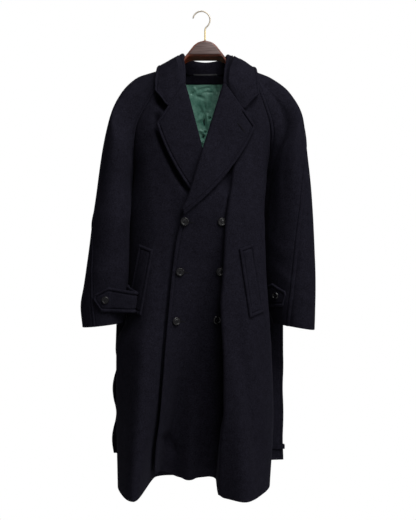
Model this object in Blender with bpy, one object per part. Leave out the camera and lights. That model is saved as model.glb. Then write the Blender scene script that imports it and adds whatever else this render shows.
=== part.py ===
"""A long double-breasted overcoat with raglan sleeves, a notched collar and a loose belt, hung on a hanger.

Metres, +Z up. The front faces -Y and the wearer's left is at +X. The origin is the hanging point, on the inside
of the hook's crown. The cloth pieces are walls lofted through horizontal sections of the body and through rings
round the sleeves. Pieces that are sewn together share the points and the normals of their seam, less SEAM.
"""

import math
from collections import namedtuple

import bpy
import numpy as np
from mathutils import Vector
from mathutils.bvhtree import BVHTree

# Cloth and seams
CLOTH = 0.003
LAPEL = 0.0045
COLLAR = 0.005
WELT = 0.004
WELT_GAP = 0.0014
STRAP = 0.005
BELT = 0.0045
LINING = 0.001
SEAM = 0.0002
LAID = 0.0004

# Heights of the cut
FRONT_NECK = -0.214
BACK_NECK = -0.160
ARMPIT = -0.457
BREAK = -0.564
HEM = -1.297

# Numbers of rows and columns of the walls
ROWS_BELOW = 17
ROWS_ABOVE = 7
UNDER_COLUMNS = 20
OVER_COLUMNS = 26
BACK_COLUMNS = 16
SLEEVE_ROWS = 12
SLEEVE_COLUMNS = 8
DENSE = 361

# The body's sections: centre and half width across, depth of the front and of the back, and how far the front
# drape stands out beside the wearer's left arm.
Section = namedtuple("Section", "height centre half_width front back drape")
BODY = [
    Section(-0.120, 0.010, 0.190, 0.040, 0.060, 0.000),
    Section(-0.160, 0.010, 0.200, 0.054, 0.068, 0.000),
    Section(-0.214, 0.010, 0.208, 0.070, 0.078, 0.000),
    Section(-0.300, 0.005, 0.208, 0.088, 0.088, 0.000),
    Section(-0.380, 0.000, 0.192, 0.098, 0.090, 0.004),
    Section(-0.457, -0.004, 0.181, 0.104, 0.090, 0.010),
    Section(-0.560, -0.017, 0.182, 0.109, 0.091, 0.018),
    Section(-0.700, -0.020, 0.183, 0.110, 0.094, 0.020),
    Section(-0.845, -0.019, 0.189, 0.108, 0.100, 0.016),
    Section(-0.910, -0.021, 0.212, 0.105, 0.106, 0.006),
    Section(-1.100, -0.018, 0.215, 0.100, 0.116, 0.006),
    Section(-1.320, -0.021, 0.207, 0.094, 0.128, 0.000),
]
SQUARENESS = 0.85

# Hanging folds of the front: place across at their start and at the hem, height of the start, crest at the hem
# and the reach to each side.
Fold = namedtuple("Fold", "top hem start crest reach_left reach_right")
FRONT_FOLDS = [
    Fold(-0.125, -0.178, -0.52, 0.090, 0.044, 0.044),
    Fold(0.100, 0.118, -0.36, 0.085, 0.062, 0.052),
]
OVER_FOLDS = [Fold(-0.020, -0.034, -1.02, 0.036, 0.026, 0.028)]
BACK_FOLDS = [
    Fold(-0.100, -0.125, -0.50, 0.022, 0.040, 0.046),
    Fold(0.000, -0.010, -0.66, -0.030, 0.046, 0.040),
    Fold(0.090, 0.105, -0.46, 0.026, 0.050, 0.040),
]
# The middle of the front hangs back between the two columns of the fronts.
RECESS_START = -0.45
RECESS_DEPTH = 0.125
RECESS_GROWTH = 1.3
RECESS_LEFT = (0.035, -0.148)
RECESS_RIGHT = (0.069, 0.046)
RECESS_SOFT_LEFT = (0.070, 0.022)
RECESS_SOFT_RIGHT = (0.012, 0.005)

# Front edges below the break of the lapels, as height and place across.
Edge = namedtuple("Edge", "height across")
OVER_EDGE = [
    Edge(-0.564, -0.0495),
    Edge(-0.655, -0.0690),
    Edge(-0.835, -0.0870),
    Edge(-0.965, -0.0965),
    Edge(-1.103, -0.1065),
    Edge(-1.216, -0.1190),
    Edge(-1.320, -0.1270),
]
UNDER_EDGE = [Edge(-0.564, 0.050), Edge(-0.800, 0.028), Edge(-1.320, 0.010)]
HEM_LIFT_CENTRE = 0.014
HEM_LIFT_CORNER = 0.020
HEM_LIFT_ZONE = 0.30

# Layers of the overlap
OVERLAP_RISE = 0.0070
OVERLAP_RAMP = 0.055
TUCK_RISE = 0.0062
EDGE_FLARE = 0.010

# Lapels and collar ends, as places across and heights on the chest. Side -1 is the wearer's right.
Revers = namedtuple("Revers", "side roll_top roll_foot notch tip foot belly collar_tip")
REVERS = {
    "right": Revers(-1, (-0.041, -0.214), (0.009, -0.410), (-0.0821, -0.2767), (-0.1166, -0.3215),
                    (-0.026, -0.503), 0.008, (-0.1194, -0.2333)),
    "left": Revers(1, (0.0575, -0.214), (-0.0470, -0.556), (0.1127, -0.2809), (0.1412, -0.3288),
                   (-0.037, -0.569), 0.020, (0.1504, -0.2418)),
}
OVER_ROLL_FOOT = (-0.0495, BREAK)
UNDER_ROLL_FOOT = (0.050, BREAK)
ROLL_RADIUS = 0.0075
LAPEL_STAND = (0.0060, 0.0080, 0.0095)
LAPEL_ROWS = 12
NOTCH = 7

# The collar, from the wearer's right round the back of the neck: fold line, outer edge and neck seam.
Collar = namedtuple("Collar", "fold edge seam")
COLLAR_SIDE = {
    -1: [
        Collar((-0.0490, -0.052, -0.168), (-0.1215, -0.052, -0.196), (-0.0490, -0.038, -0.180)),
        Collar((-0.0583, -0.004, -0.1175), (-0.1165, -0.002, -0.1530), (-0.0545, 0.002, -0.140)),
        Collar((-0.0420, 0.054, -0.1165), (-0.0880, 0.078, -0.1720), (-0.0400, 0.047, -0.155)),
    ],
    1: [
        Collar((0.0680, -0.052, -0.168), (0.1500, -0.052, -0.203), (0.0680, -0.038, -0.180)),
        Collar((0.0787, -0.004, -0.1200), (0.1440, -0.002, -0.1600), (0.0745, 0.002, -0.140)),
        Collar((0.0620, 0.054, -0.1175), (0.1120, 0.078, -0.1750), (0.0600, 0.047, -0.155)),
    ],
}
COLLAR_BACK = Collar((0.010, 0.080, -0.1200), (0.010, 0.112, -0.1870), (0.010, 0.067, -0.1570))
COLLAR_FOLD_RADIUS = 0.0065
COLLAR_STATIONS = 33
COLLAR_BLEND = 6
COLLAR_CLEAR = 0.0027
COLLAR_TIP_STAND = 0.0125

# Sleeves: outer line from the neck over the shoulder to the cuff, and the inner line below the armpit.
Reach = namedtuple("Reach", "height right left")
OUTER_LINE = [
    Reach(-0.1395, -0.062, 0.082),
    Reach(-0.1625, -0.119, 0.1400),
    Reach(-0.1820, -0.175, 0.1880),
    Reach(-0.2230, -0.216, 0.2395),
    Reach(-0.3000, -0.251, 0.2787),
    Reach(-0.3800, -0.270, 0.2870),
    Reach(-0.4600, -0.2813, 0.2975),
    Reach(-0.6270, -0.299, 0.3090),
    Reach(-0.7550, -0.3165, 0.3135),
    Reach(-0.8175, -0.326, 0.3125),
    Reach(-0.8730, -0.321, 0.3107),
]
INNER_LINE = [
    Reach(-0.457, -0.185, 0.177),
    Reach(-0.520, -0.1970, 0.1718),
    Reach(-0.600, -0.2022, 0.1678),
    Reach(-0.700, -0.2040, 0.1675),
    Reach(-0.780, -0.2120, 0.1760),
    Reach(-0.858, -0.2130, 0.2020),
]
SLEEVE_FRONT_BULGE = (0.094, 0.062)
SLEEVE_BACK_BULGE = (0.094, 0.062)
SLEEVE_TWIST = {"right": math.radians(16), "left": math.radians(-8)}
ARMPIT_TWIST = math.radians(-26)
SLEEVE_SWING = {"right": -0.034, "left": 0.004}
SLEEVE_RISE = {"right": 0.010, "left": 0.000}
RAGLAN_START = {"right": 0.36, "left": 0.41}
RAGLAN_GROWTH = 1.15
BACK_RAGLAN_START = 0.18

# Inside the neck
FACING_DROP = 0.023
LINING_HEM = -1.24
LINING_GAP = 0.0007
LOOP_HEIGHT = 0.006

# Pocket welts: the middle of the upper end and of the lower end, on the front
Pocket = namedtuple("Pocket", "side top foot width")
POCKETS = {
    "right": Pocket(-1, (-0.1435, -0.648), (-0.1740, -0.820), 0.040),
    "left": Pocket(1, (0.1180, -0.646), (0.1440, -0.826), 0.040),
}
POCKET_ROWS = 9
POCKET_SLANT = 0.21
POCKET_COLUMNS = 4

# Buttons
BUTTON_RADIUS = 0.0115
BUTTON_RIM = 0.0042
BUTTON_DISH = 0.0028
BUTTON_SIDES = 20
CUFF_BUTTON_RADIUS = 0.0100
BUTTON_HEIGHTS = (-0.582, -0.713, -0.842)
BUTTON_RIGHT = (-0.0425, -0.0550, -0.0655)
BUTTON_LEFT = (0.0490, 0.0455, 0.0370)

# Cuff straps: stations round the sleeve as a share of the front half, and how far each stands off
STRAP_WIDTH = 0.056
Station = namedtuple("Station", "around stand_off")
STRAPS = {
    "right": (-0.787, 0.010, [Station(0.040, 0.0010), Station(0.125, 0.0050), Station(0.250, 0.0170),
                              Station(0.375, 0.0080), Station(0.500, 0.0014), Station(0.590, 0.0010)]),
    "left": (-0.778, 0.004, [Station(0.000, 0.0016), Station(0.125, 0.0032), Station(0.250, 0.0016),
                             Station(0.375, 0.0010), Station(0.430, 0.0010)]),
}
STRAP_TIP_SHARE = 0.16
STRAP_BUTTON_AT = {"right": 0.480, "left": 0.325}

# Belt
BELT_WIDTH = 0.046
WAIST = -0.655
BELT_GAP = 0.0008
BELT_LOOP_WIDTH = 0.014
BELT_LOOP_WALL = 0.0030
BELT_LOOP_AT = {"right": -0.105, "left": 0.090}
BELT_CORNER = {"right": (-0.2160, 0.100), "left": (0.2075, 0.106)}
BELT_BEND = {"right": (-0.165, 0.093), "left": (0.150, 0.098)}
BELT_END = {"right": -1.247, "left": -1.268}
BELT_WAVE = {"right": 0.006, "left": 0.001}
BELT_WAVE_LENGTH = 0.140
BELT_DRIFT = {"right": -0.012, "left": 0.000}
BELT_FOLD_RADIUS = 0.0030
BELT_COLUMNS = 3
BELT_ROWS = 12
BELT_SLANT_ZONE = 0.070
KEEPER_ABOVE_END = 0.046
KEEPER_HEIGHT = 0.012
KEEPER_WALL = 0.0020
KEEPER_GAP = 0.0008

# Hanger
HANGER_X = 0.0096
Rib = namedtuple("Rib", "out top foot half_depth")
HANGER = [
    Rib(0.0000, -0.0800, -0.1260, 0.0110),
    Rib(0.0180, -0.0850, -0.1260, 0.0110),
    Rib(0.0300, -0.0935, -0.1260, 0.0110),
    Rib(0.0377, -0.1029, -0.1262, 0.0110),
    Rib(0.0450, -0.1120, -0.1280, 0.0105),
    Rib(0.0503, -0.1185, -0.1325, 0.0100),
    Rib(0.0560, -0.1270, -0.1400, 0.0100),
    Rib(0.0600, -0.1400, -0.1520, 0.0100),
    Rib(0.0650, -0.1490, -0.1600, 0.0104),
    Rib(0.0800, -0.1545, -0.1700, 0.0110),
    Rib(0.1286, -0.1678, -0.1855, 0.0120),
    Rib(0.1846, -0.1935, -0.2100, 0.0130),
    Rib(0.2000, -0.2080, -0.2170, 0.0090),
]
HANGER_CHAMFER = 0.003
PLATE_SCALE = 0.80
PLATE_FOOT = -0.1185
PLATE_TOP = -0.0865
PLATE_THICKNESS = 0.0012
PLATE_GAP = 0.0003
WIRE = 0.0020
WIRE_SIDES = 8
HOOK_RADIUS = 0.0235
HOOK_TIP_ANGLE = math.radians(174)
HOOK_TURN_ANGLE = math.radians(-52)
SHANK_TOP = -0.049
SHANK_GAP = 0.0003

COLOURS = {
    "wool": (0.012, 0.012, 0.018, 0.95, 0.0),
    "lining": (0.030, 0.115, 0.080, 0.45, 0.0),
    "tape": (0.060, 0.070, 0.110, 0.50, 0.0),
    "horn": (0.015, 0.014, 0.015, 0.30, 0.0),
    "wood": (0.110, 0.032, 0.012, 0.35, 0.0),
    "plate": (0.045, 0.028, 0.026, 0.45, 0.0),
    "brass": (0.600, 0.450, 0.220, 0.25, 1.0),
}


def clear_scene():
    for thing in list(bpy.data.objects):
        bpy.data.objects.remove(thing, do_unlink=True)


def make_material(name):
    red, green, blue, roughness, metallic = COLOURS[name]
    material = bpy.data.materials.new(name)
    material.use_nodes = True
    shader = material.node_tree.nodes["Principled BSDF"]
    shader.inputs["Base Color"].default_value = (red, green, blue, 1.0)
    shader.inputs["Roughness"].default_value = roughness
    shader.inputs["Metallic"].default_value = metallic
    material.diffuse_color = (red, green, blue, 1.0)
    return material


def add_object(name, points, faces, material):
    mesh = bpy.data.meshes.new(name)
    mesh.from_pydata([tuple(map(float, p)) for p in points], [], faces)
    mesh.validate()
    mesh.shade_smooth()
    mesh.set_sharp_from_angle(angle=math.radians(50))
    mesh.materials.append(MATERIALS[material])
    made = bpy.data.objects.new(name, mesh)
    bpy.context.scene.collection.objects.link(made)
    return made


def step(x):
    """0 up to x = 0, 1 from x = 1, smooth between."""
    x = np.clip(x, 0.0, 1.0)
    return x * x * (3.0 - 2.0 * x)


def mix(pair, share):
    return pair[0] + (pair[1] - pair[0]) * share


def unit(vectors):
    vectors = np.asarray(vectors, float)
    return vectors / np.maximum(np.linalg.norm(vectors, axis=-1, keepdims=True), 1e-12)


def curve_through(knots, values):
    """A smooth curve through the values that never overshoots them. The knots run either way."""
    knots = np.asarray(knots, float)
    values = np.asarray(values, float)
    order = np.argsort(knots)
    knots = knots[order]
    values = values[order]
    widths = np.diff(knots)
    slopes = np.diff(values, axis=0) / widths.reshape(-1, *([1] * (values.ndim - 1)))
    tangents = np.zeros_like(values)
    tangents[0] = slopes[0]
    tangents[-1] = slopes[-1]
    before = slopes[:-1]
    after = slopes[1:]
    same = before * after > 0
    tangents[1:-1] = np.where(same, 2 * before * after / np.where(same, before + after, 1.0), 0.0)

    def at(x):
        x = np.asarray(x, float)
        i = np.clip(np.searchsorted(knots, x) - 1, 0, len(widths) - 1)
        h = widths[i]
        t = np.clip((x - knots[i]) / h, 0.0, 1.0)
        shape = t.shape + (1,) * (values.ndim - 1)
        t = t.reshape(shape)
        h = h.reshape(shape)
        return (
            values[i] * (1 + 2 * t) * (1 - t) ** 2
            + tangents[i] * h * t * (1 - t) ** 2
            + values[i + 1] * t * t * (3 - 2 * t)
            + tangents[i + 1] * h * t * t * (t - 1)
        )

    return at


def along(points, shares):
    """Points at shares of the way along a polyline."""
    points = np.asarray(points, float)
    run = np.concatenate([[0.0], np.cumsum(np.linalg.norm(np.diff(points, axis=0), axis=1))])
    wanted = np.asarray(shares, float) * run[-1]
    return np.stack([np.interp(wanted, run, points[:, k]) for k in range(points.shape[1])], axis=-1)


def bezier(p0, p1, p2, p3, t):
    t = np.asarray(t, float)[:, None]
    return (1 - t) ** 3 * p0 + 3 * t * (1 - t) ** 2 * p1 + 3 * t * t * (1 - t) * p2 + t ** 3 * p3


MATERIALS = {}
body_at = curve_through([s.height for s in BODY], [s[1:] for s in BODY])
over_edge_at = curve_through([e.height for e in OVER_EDGE], [e.across for e in OVER_EDGE])
under_edge_at = curve_through([e.height for e in UNDER_EDGE], [e.across for e in UNDER_EDGE])


def fold_heave(folds, x, z):
    """How far the folds push each point of a section outwards."""
    heave = np.zeros_like(x)
    for fold in folds:
        growth = np.clip((fold.start - z) / (fold.start - HEM), 0.0, 1.1)
        offset = x - mix((fold.top, fold.hem), growth)
        reach = np.where(offset < 0, fold.reach_left, fold.reach_right)
        heave += fold.crest * growth ** 1.25 * np.exp(-((offset / reach) ** 2))
    return heave


def recess(x, z):
    """How far the middle of the front hangs back."""
    growth = float(np.clip((RECESS_START - z) / (RECESS_START - HEM), 0.0, 1.1))
    left = step((x - mix(RECESS_LEFT, growth)) / mix(RECESS_SOFT_LEFT, growth) / 2 + 0.5)
    right = step((mix(RECESS_RIGHT, growth) - x) / mix(RECESS_SOFT_RIGHT, growth) / 2 + 0.5)
    return RECESS_DEPTH * growth ** RECESS_GROWTH * left * right


def front_section(z):
    """The front's section at a height, from the right side seam to the left one: share, x and y."""
    centre, half, front, _, drape = body_at(z)
    share = np.linspace(-1.0, 1.0, DENSE)
    angle = share * math.pi / 2
    across = np.sign(angle) * np.abs(np.sin(angle)) ** SQUARENESS
    deep = np.maximum(np.cos(angle), 0.0) ** SQUARENESS
    x = centre + half * across
    window = 1.0 - np.abs(share) ** 8
    y = -front * deep + window * (recess(x, z) - fold_heave(FRONT_FOLDS, x, z))
    x = x + drape * np.sin(math.pi * np.clip((share - 0.35) / 0.65, 0, 1)) ** 2
    return share, x, y


def back_section(z):
    """The back's section at a height, from the right side seam round to the left one: share, x and y."""
    centre, half, _, back, _ = body_at(z)
    share = np.linspace(-1.0, 1.0, DENSE)
    angle = share * math.pi / 2
    x = centre + half * np.sign(angle) * np.abs(np.sin(angle)) ** SQUARENESS
    window = 1.0 - np.abs(share) ** 8
    y = back * np.maximum(np.cos(angle), 0.0) ** SQUARENESS + window * fold_heave(BACK_FOLDS, x, z)
    return share, x, y


def section_normals(x, y, outward):
    dx = np.gradient(x)
    dy = np.gradient(y)
    length = np.maximum(np.hypot(dx, dy), 1e-12)
    return outward * dy / length, -outward * dx / length


def roll_x(revers, z):
    """Place of a front's roll line, taken in by the radius of the roll, which shows where the line is."""
    foot = OVER_ROLL_FOOT if revers.side > 0 else UNDER_ROLL_FOOT
    share = (z - foot[1]) / (revers.roll_top[1] - foot[1])
    return mix((foot[0], revers.roll_top[0]), share) + revers.side * ROLL_RADIUS * step((z - BREAK) / 0.05)


def front_edge(side, z):
    """Place of a front's own edge: its roll line above the break and its cut edge below."""
    if z > BREAK:
        return float(roll_x(REVERS["left" if side > 0 else "right"], z))
    return float(over_edge_at(z) if side > 0 else under_edge_at(z))


def overlap_rise(x, z):
    """How far the overlapping front lies above the other one."""
    under = under_edge_at(np.clip(z, HEM - 0.02, BREAK)) if z < BREAK else roll_x(REVERS["right"], z)
    cover = step((under + 0.012 + OVERLAP_RAMP - x) / OVERLAP_RAMP)
    above_v = step((-0.32 - z) / 0.06)
    tuck = step((z + 0.60) / 0.06) * step((-0.36 - z) / 0.04) * step((0.050 - x) / 0.06)
    edge = over_edge_at(np.clip(z, HEM - 0.02, BREAK))
    flare = EDGE_FLARE * step((-0.88 - z) / 0.3) * step((edge + 0.05 - x) / 0.05)
    wave = fold_heave(OVER_FOLDS, x, z)
    return OVERLAP_RISE * cover * above_v + TUCK_RISE * tuck + flare + wave


def front_profile(side, z):
    """One front's section with its layer's rise: share, x, y and the outward normal in the section."""
    share, x, y = front_section(z)
    nx, ny = section_normals(x, y, 1)
    if side > 0:
        rise = overlap_rise(x, z)
        x = x + nx * rise
        y = y + ny * rise
    return share, x, y, nx, ny


def on_front(side, x, z):
    """The point of a front at a place across and a height, and the outward normal there."""
    share, xs, ys, nx, ny = front_profile(side, z)
    middle = np.abs(share) < 0.9
    xs = np.maximum.accumulate(xs[middle] + np.arange(middle.sum()) * 1e-9)
    values = [np.interp(x, xs, v[middle]) for v in (ys, nx, ny)]
    return np.array([x, values[0], z]), unit(np.array([values[1], values[2], 0.0]))


def raglan_share(start, top, z):
    return start + (1.0 - start) * np.clip((top - z) / (top - ARMPIT), 0.0, 1.0) ** RAGLAN_GROWTH


def front_heights():
    below = np.linspace(HEM, ARMPIT, ROWS_BELOW + 1)
    return np.concatenate([below[:-1], np.linspace(ARMPIT, FRONT_NECK, ROWS_ABOVE + 1)])


def back_heights():
    below = np.linspace(HEM, ARMPIT, ROWS_BELOW + 1)
    return np.concatenate([below[:-1], np.linspace(ARMPIT, BACK_NECK, ROWS_ABOVE + 1)])


def hem_lift(side, x, z):
    """The hem hangs a little higher in the middle and at the corner of the overlapping front."""
    near = step((HEM + HEM_LIFT_ZONE - z) / HEM_LIFT_ZONE)
    middle = step((x + 0.165) / 0.04) * step((0.060 - x) / 0.03)
    corner = step((-0.055 - x) / 0.07) if side > 0 else 0.0
    return near * (HEM_LIFT_CENTRE * middle + HEM_LIFT_CORNER * corner)


def column_shares(side, columns):
    """Shares of the way from front edge to side seam, even along the cloth of a low section."""
    z = HEM + 0.16
    share, x, y, _, _ = front_profile(side, z)
    edge = share_at(side, front_edge(side, z), z)
    kept = np.linspace(edge, side, 400)
    line = np.stack([np.interp(kept, share, v) for v in (x, y)], axis=1)
    run = np.concatenate([[0.0], np.cumsum(np.linalg.norm(np.diff(line, axis=0), axis=1))])
    return np.interp(np.linspace(0, run[-1], columns + 1), run, np.linspace(0, 1, 400))


def share_at(side, x, z):
    """Share of the section at a place across."""
    share, xs, _, _, _ = front_profile(side, z)
    middle = np.abs(share) < 0.9
    return float(np.interp(x, np.maximum.accumulate(xs[middle]), share[middle]))


def front_grid(side, columns):
    """Rows of points from the hem up, each from the front edge to the side seam or the raglan seam."""
    spread = column_shares(side, columns)
    name = "left" if side > 0 else "right"
    rows = []
    for z in front_heights():
        share, x, y, _, _ = front_profile(side, z)
        limit = side * raglan_share(RAGLAN_START[name], FRONT_NECK, z) if z > ARMPIT else side
        edge = share_at(side, front_edge(side, z), z)
        wanted = edge + (limit - edge) * spread
        xs = np.interp(wanted, share, x)
        ys = np.interp(wanted, share, y)
        rows.append(np.column_stack([xs, ys, z + hem_lift(side, xs, z)]))
    return np.array(rows)


def back_grid():
    """Rows of points from the hem up, each from the right side or raglan seam to the left one."""
    rows = []
    for z in back_heights():
        share, x, y = back_section(z)
        limit = raglan_share(BACK_RAGLAN_START, BACK_NECK, z) if z > ARMPIT else 1.0
        ends = [np.array([np.interp(s * limit, share, v) for v in (x, y)]) for s in (-1, 1)]
        inside = np.abs(share) < limit
        line = np.vstack([ends[0], np.stack([x[inside], y[inside]], axis=1)[1:-1], ends[1]])
        even = along(line, np.linspace(0, 1, BACK_COLUMNS + 1))
        rows.append(np.column_stack([even, np.full(len(even), z)]))
    return np.array(rows)


def grid_normals(grid, outward_hint):
    """Unit normals of a grid of points, turned as a whole towards the hint."""
    along_rows = np.gradient(grid, axis=0)
    along_columns = np.gradient(grid, axis=1)
    normals = unit(np.cross(along_rows, along_columns))
    return normals if (normals * outward_hint).sum() > 0 else -normals


def inset(grid, left=0.0, right=0.0, bottom=0.0, top=0.0):
    """Moves the border lines of a grid in along the surface."""
    grid = grid.copy()
    if left:
        grid[:, 0] += unit(grid[:, 1] - grid[:, 0]) * left
    if right:
        grid[:, -1] += unit(grid[:, -2] - grid[:, -1]) * right
    if bottom:
        grid[0] += unit(grid[1] - grid[0]) * bottom
    if top:
        grid[-1] += unit(grid[-2] - grid[-1]) * top
    return grid


def wall(name, outer, inner, material):
    """A closed wall between two grids of points of the same size."""
    rows, columns = outer.shape[:2]
    points = np.concatenate([outer.reshape(-1, 3), inner.reshape(-1, 3)])
    half = rows * columns

    def at(i, j, layer):
        return layer * half + i * columns + j

    faces = []
    for i in range(rows - 1):
        for j in range(columns - 1):
            faces.append((at(i, j, 0), at(i, j + 1, 0), at(i + 1, j + 1, 0), at(i + 1, j, 0)))
            faces.append((at(i, j, 1), at(i + 1, j, 1), at(i + 1, j + 1, 1), at(i, j + 1, 1)))
    for i in range(rows - 1):
        faces.append((at(i, 0, 0), at(i + 1, 0, 0), at(i + 1, 0, 1), at(i, 0, 1)))
        k = columns - 1
        faces.append((at(i, k, 0), at(i, k, 1), at(i + 1, k, 1), at(i + 1, k, 0)))
    for j in range(columns - 1):
        faces.append((at(0, j, 0), at(0, j, 1), at(0, j + 1, 1), at(0, j + 1, 0)))
        k = rows - 1
        faces.append((at(k, j, 0), at(k, j + 1, 0), at(k, j + 1, 1), at(k, j, 1)))
    faces = [corner for f in faces for corner in ((f[0], f[1], f[2]), (f[0], f[2], f[3]))]
    centre = outer[rows // 2, columns // 2] - inner[rows // 2, columns // 2]
    turn = np.cross(outer[rows // 2, columns // 2] - outer[rows // 2, columns // 2 - 1],
                    outer[rows // 2, columns // 2] - outer[rows // 2 - 1, columns // 2])
    if np.dot(turn, centre) < 0:
        faces = [face[::-1] for face in faces]
    return add_object(name, points, faces, material)


# Sleeves

def sleeve_line(name):
    column = 1 if name == "right" else 2
    outer = np.array([(r[column], r.height) for r in OUTER_LINE])
    height_to_x = curve_through(outer[:, 1], outer[:, 0])
    heights = np.linspace(outer[0, 1], outer[-1, 1], 200)
    rise = SLEEVE_RISE[name] * step((ARMPIT - heights) / (ARMPIT - heights[-1]))
    return np.column_stack([height_to_x(heights), heights + rise])


def sleeve_grid(name, front, back):
    """Rings of the sleeve from the neck to the cuff: front half from seam to top line, then the back half."""
    side = -1 if name == "right" else 1
    line = sleeve_line(name)
    split = int(np.argmin(np.abs(line[:, 1] - (ARMPIT - 0.004))))
    upper = along(line[: split + 1], np.linspace(0, 1, ROWS_ABOVE + 1))
    lower = along(line[split:], np.linspace(0, 1, SLEEVE_ROWS + 1))
    column = 1 if name == "right" else 2
    inner_x = curve_through([r.height for r in INNER_LINE], [r[column] for r in INNER_LINE])
    inner_z = np.linspace(INNER_LINE[0].height, INNER_LINE[-1].height, SLEEVE_ROWS + 1)
    twist = SLEEVE_TWIST[name]
    swing = SLEEVE_SWING[name]
    side_column = -1
    back_column = 0 if side < 0 else -1
    next_column = 1 if side < 0 else -2
    t = np.linspace(0, 1, SLEEVE_COLUMNS + 1)
    over = np.array([0.0, 1.0, 0.0])
    rings = []
    for k in range(ROWS_ABOVE + SLEEVE_ROWS + 1):
        if k <= ROWS_ABOVE:
            row = front.shape[0] - 1 - k
            f, b = front[row, side_column], back[row, back_column]
            f_way = unit(front[row, side_column] - front[row, side_column - 1])
            b_way = unit(back[row, next_column] - back[row, back_column])
            share = step(k / ROWS_ABOVE)
            top = np.array([upper[k, 0], 0.0, upper[k, 1]])
            outward = np.array([-side * math.sin(ARMPIT_TWIST), -math.cos(ARMPIT_TWIST), 0.0])
            f_way = unit(mix((f_way, outward), share))
            b_way = unit(mix((b_way, outward * np.array([-1, 1, 1])), share))
            down = 0.0
        else:
            down = (k - ROWS_ABOVE) / SLEEVE_ROWS
            z = inner_z[k - ROWS_ABOVE]
            f = b = np.array([float(inner_x(z)), swing * step(down * 1.2), z + SLEEVE_RISE[name] * step(down)])
            turn = mix((ARMPIT_TWIST, twist), step(down / 0.16))
            f_way = np.array([-side * math.sin(turn), -math.cos(turn), 0.0])
            turn = mix((-ARMPIT_TWIST, twist), step(down / 0.16))
            b_way = np.array([-side * math.sin(turn), -math.cos(turn), 0.0])
            share = 1.0
            top = np.array([lower[k - ROWS_ABOVE, 0], swing * step(down * 1.2), lower[k - ROWS_ABOVE, 1]])
        f_pull = mix((0.36 * np.linalg.norm(top - f), mix(SLEEVE_FRONT_BULGE, down) / 0.75), share)
        b_pull = mix((0.36 * np.linalg.norm(top - b), mix(SLEEVE_BACK_BULGE, down) / 0.75), share)
        first = along(bezier(f, f + f_way * f_pull, top - over * f_pull, top, np.linspace(0, 1, 60)), t)
        second = along(bezier(top, top + over * b_pull, b - b_way * b_pull, b, np.linspace(0, 1, 60)), t)
        rings.append(np.vstack([first, second[1:]]))
    return np.array(rings)


def ring_normals(rings):
    """Outward normals of the rings. The closed ones share the normal of their inner line."""
    centre = rings.mean(axis=1, keepdims=True)
    normals = grid_normals(rings, rings - centre)
    for k in range(ROWS_ABOVE, len(rings)):
        shared = unit(normals[k, 0] + normals[k, -1])
        normals[k, 0] = shared
        normals[k, -1] = shared
    return normals


def share_normals(first, second):
    """The mean normal of two panels along their seam, or each one's own in the crevice of an armpit."""
    if np.dot(first, second) < 0.2:
        return first, second
    shared = unit(first + second)
    return shared, shared


# Front, back and sleeves

def build_shell():
    under = front_grid(-1, UNDER_COLUMNS)
    over = front_grid(1, OVER_COLUMNS)
    back = back_grid()
    sleeves = {
        "right": sleeve_grid("right", under, back),
        "left": sleeve_grid("left", over, back),
    }
    axis = np.array([0.0, 0.0, 1.0])
    fronts = {"right": under, "left": over}
    normals = {n: grid_normals(g, g * (1 - axis) + np.array([0, -0.05, 0])) for n, g in fronts.items()}
    back_normals = grid_normals(back, back * (1 - axis) + np.array([0, 0.05, 0]))
    ring_out = {n: ring_normals(g) for n, g in sleeves.items()}
    rows = under.shape[0]
    for name, column in (("right", 0), ("left", -1)):
        for row in range(rows):
            k = rows - 1 - row
            if k >= ROWS_ABOVE:
                shared = share_normals(normals[name][row, -1], back_normals[row, column])
                normals[name][row, -1], back_normals[row, column] = shared
            else:
                shared = share_normals(normals[name][row, -1], ring_out[name][k, 0])
                normals[name][row, -1], ring_out[name][k, 0] = shared
                shared = share_normals(back_normals[row, column], ring_out[name][k, -1])
                back_normals[row, column], ring_out[name][k, -1] = shared
    for name, grid in fronts.items():
        inner = inset(grid - normals[name] * CLOTH, right=SEAM)
        wall(f"front_{name}", inset(grid, right=SEAM), inner, "wool")
    wall("back", inset(back, SEAM, SEAM), inset(back - back_normals * CLOTH, SEAM, SEAM), "wool")
    for name, rings in sleeves.items():
        inside = rings - ring_out[name] * CLOTH
        half = SLEEVE_COLUMNS
        for piece, part in (("front", slice(0, half + 1)), ("back", slice(half, None))):
            outer = inset(rings[:, part], SEAM, SEAM)
            wall(f"sleeve_{piece}_{name}", outer, inset(inside[:, part], SEAM, SEAM), "wool")
    return fronts, back, back_normals, sleeves, ring_out, normals


# Inside of the back: neck facing and lining

def build_inside(back, normals):
    heights = back[:, 0, 2]
    facing_rows = np.linspace(BACK_NECK - 0.0005, BACK_NECK - FACING_DROP, 3)
    lining_rows = [z for z in heights if LINING_HEM < z < BACK_NECK - FACING_DROP - 0.005]
    lining_rows.append(BACK_NECK - FACING_DROP - 0.0004)

    def moved_in(rows, depth):
        sunk = back - normals * (CLOTH + depth)
        columns = range(1, sunk.shape[1] - 1)
        grid = [[[np.interp(z, heights, sunk[:, j, k]) for k in range(3)] for j in columns] for z in rows]
        return np.array(grid)

    wall("neck_facing", moved_in(facing_rows, LAID + 0.0024), moved_in(facing_rows, LAID), "wool")
    wall("lining_back", moved_in(lining_rows, LINING_GAP + LINING), moved_in(lining_rows, LINING_GAP), "lining")


# Lapels: each turns round its front's roll line and lies back over the chest

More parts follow.
